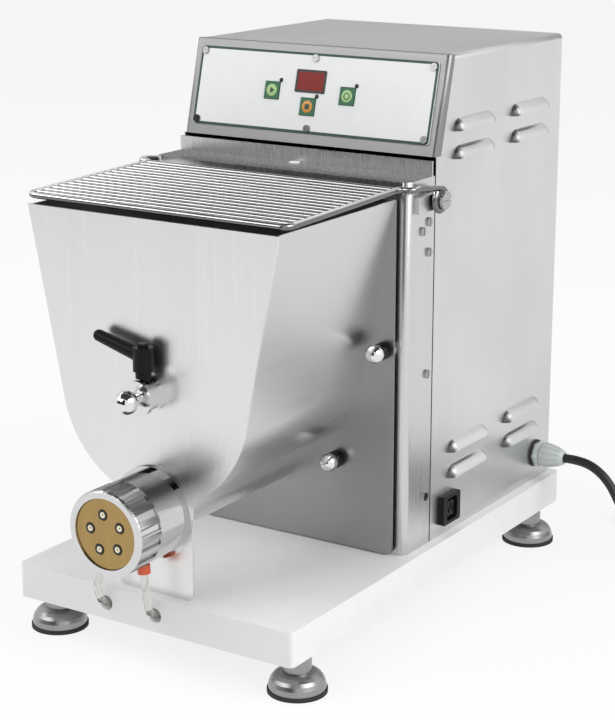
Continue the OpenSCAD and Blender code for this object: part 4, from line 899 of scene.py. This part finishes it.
class PASTA_OT_fittings(bpy.types.Operator):
    """Finishes the boss, the pull pin, the clamp lever and the thumb knobs"""
    bl_idname = "pasta.fittings"
    bl_label = "Pin, lever and knobs"

    def execute(self, context):
        steel, plastic = context.scene.pasta_steel, context.scene.pasta_plastic
        bright = polished("knob_chrome", steel.polished, 0.06)
        dress(turned("boss_steel", steel.polished, 0.14, PIN_AXIS), "pin_boss")
        dress(bright, "mixer_pin")
        dress(moulded("lever_black", plastic.black, 0.34, 1500, Specular_IOR_Level=0.12),
              "clamp_lever")
        oxide = turned("collar_dark", (0.05, 0.05, 0.05), 0.35, (0, 0, 0))
        for level, x, z in (("upper", 103, 230), ("lower", 61, 134)):
            for side, sign in (("left", -1), ("right", 1)):
                self.knob(f"{level}_{side}", (sign * x, KNOB_Y, z), bright, oxide)
        return {"FINISHED"}

    def knob(self, name, at, bright, oxide):
        """A ball on a ribbed collar, with its stud."""
        bm = lathe([(0, 0), (3, 0), (3, 6.4), (0, 6.4)], 32)
        profile = [(0, 6.4), (6.2, 6.4)]
        for i in range(4):
            z = 6.6 + i * 1.9
            profile += [(6.9, z + 0.2), (6.9, z + 1.1), (5.9, z + 1.4), (5.9, z + 1.7)]
        join(bm, lathe(profile + [(5.2, 14.6), (0, 14.6)], 40), None, 1)
        turns = [math.radians(-57 + i * 147 / 16) for i in range(16)]
        ball = [(BALL_RADIUS * math.cos(turn), BALL_UP + BALL_RADIUS * math.sin(turn))
                for turn in turns]
        join(bm, lathe([(0, 13.31), *ball, (0, BALL_UP + BALL_RADIUS)], 40))
        finish_piece(f"knob_{name}_ball", bm, turn_to((0, -1, 0), at), [bright, oxide],
                     f"thumb_{name}", (f"knob_{name}",))


class PASTA_OT_drive(bpy.types.Operator):
    """Finishes the motor, the gears, the bearings and the transformer inside"""
    bl_idname = "pasta.drive"
    bl_label = "Drive inside"

    def execute(self, context):
        dress(brushed("gear_plate_steel", (0.42, 0.42, 0.42), 0.4, (600, 600, 6)), "gear_plates")
        dress(polished("gear_steel", (0.48, 0.47, 0.45), 0.3),
              "lay_shaft", "auger_gears", "mixer_gear")
        dress(polished("bearing_steel", (0.68, 0.68, 0.68), 0.12), "bearings")
        dress(moulded("motor_grey", (0.16, 0.17, 0.18), 0.5, 900), "motor_housing")
        dress(turned("rotor_iron", (0.30, 0.29, 0.28), 0.4, ROTOR_AXIS), "motor_rotor")
        dress(brushed("core_iron", (0.12, 0.11, 0.10), 0.5, (6, 900, 6)), "transformer")
        return {"FINISHED"}


class PASTA_PT_sidebar(bpy.types.Panel):
    """Lists the makers and their settings"""
    bl_idname = "PASTA_PT_sidebar"
    bl_label = "Pasta maker"
    bl_space_type = "VIEW_3D"
    bl_region_type = "UI"
    bl_category = "Pasta maker"

    def draw(self, context):
        for settings in SETTINGS:
            group = getattr(context.scene, settings)
            for name in group.__annotations__:
                self.layout.prop(group, name)
        for operator in OPERATORS:
            self.layout.operator(operator.bl_idname)


SETTINGS = {"pasta_steel": SteelSettings, "pasta_plastic": PlasticSettings,
            "pasta_brass": BrassSettings, "pasta_cord": CordSettings,
            "pasta_studio": StudioSettings}
OPERATORS = (PASTA_OT_stage, PASTA_OT_cord, PASTA_OT_housing, PASTA_OT_panel, PASTA_OT_hopper,
             PASTA_OT_head, PASTA_OT_fittings, PASTA_OT_drive)


def register():
    for kind in (*SETTINGS.values(), *OPERATORS, PASTA_PT_sidebar):
        bpy.utils.register_class(kind)
    for name, settings in SETTINGS.items():
        setattr(bpy.types.Scene, name, PointerProperty(type=settings))


def unregister():
    for name in SETTINGS:
        delattr(bpy.types.Scene, name)
    for kind in (PASTA_PT_sidebar, *reversed(OPERATORS), *SETTINGS.values()):
        bpy.utils.unregister_class(kind)


def main():
    register()
    bpy.ops.pasta.stage()
    bpy.ops.pasta.cord()
    bpy.ops.pasta.housing()
    bpy.ops.pasta.panel()
    bpy.ops.pasta.hopper()
    bpy.ops.pasta.head()
    bpy.ops.pasta.fittings()
    bpy.ops.pasta.drive()


if __name__ == "__main__":
    main()
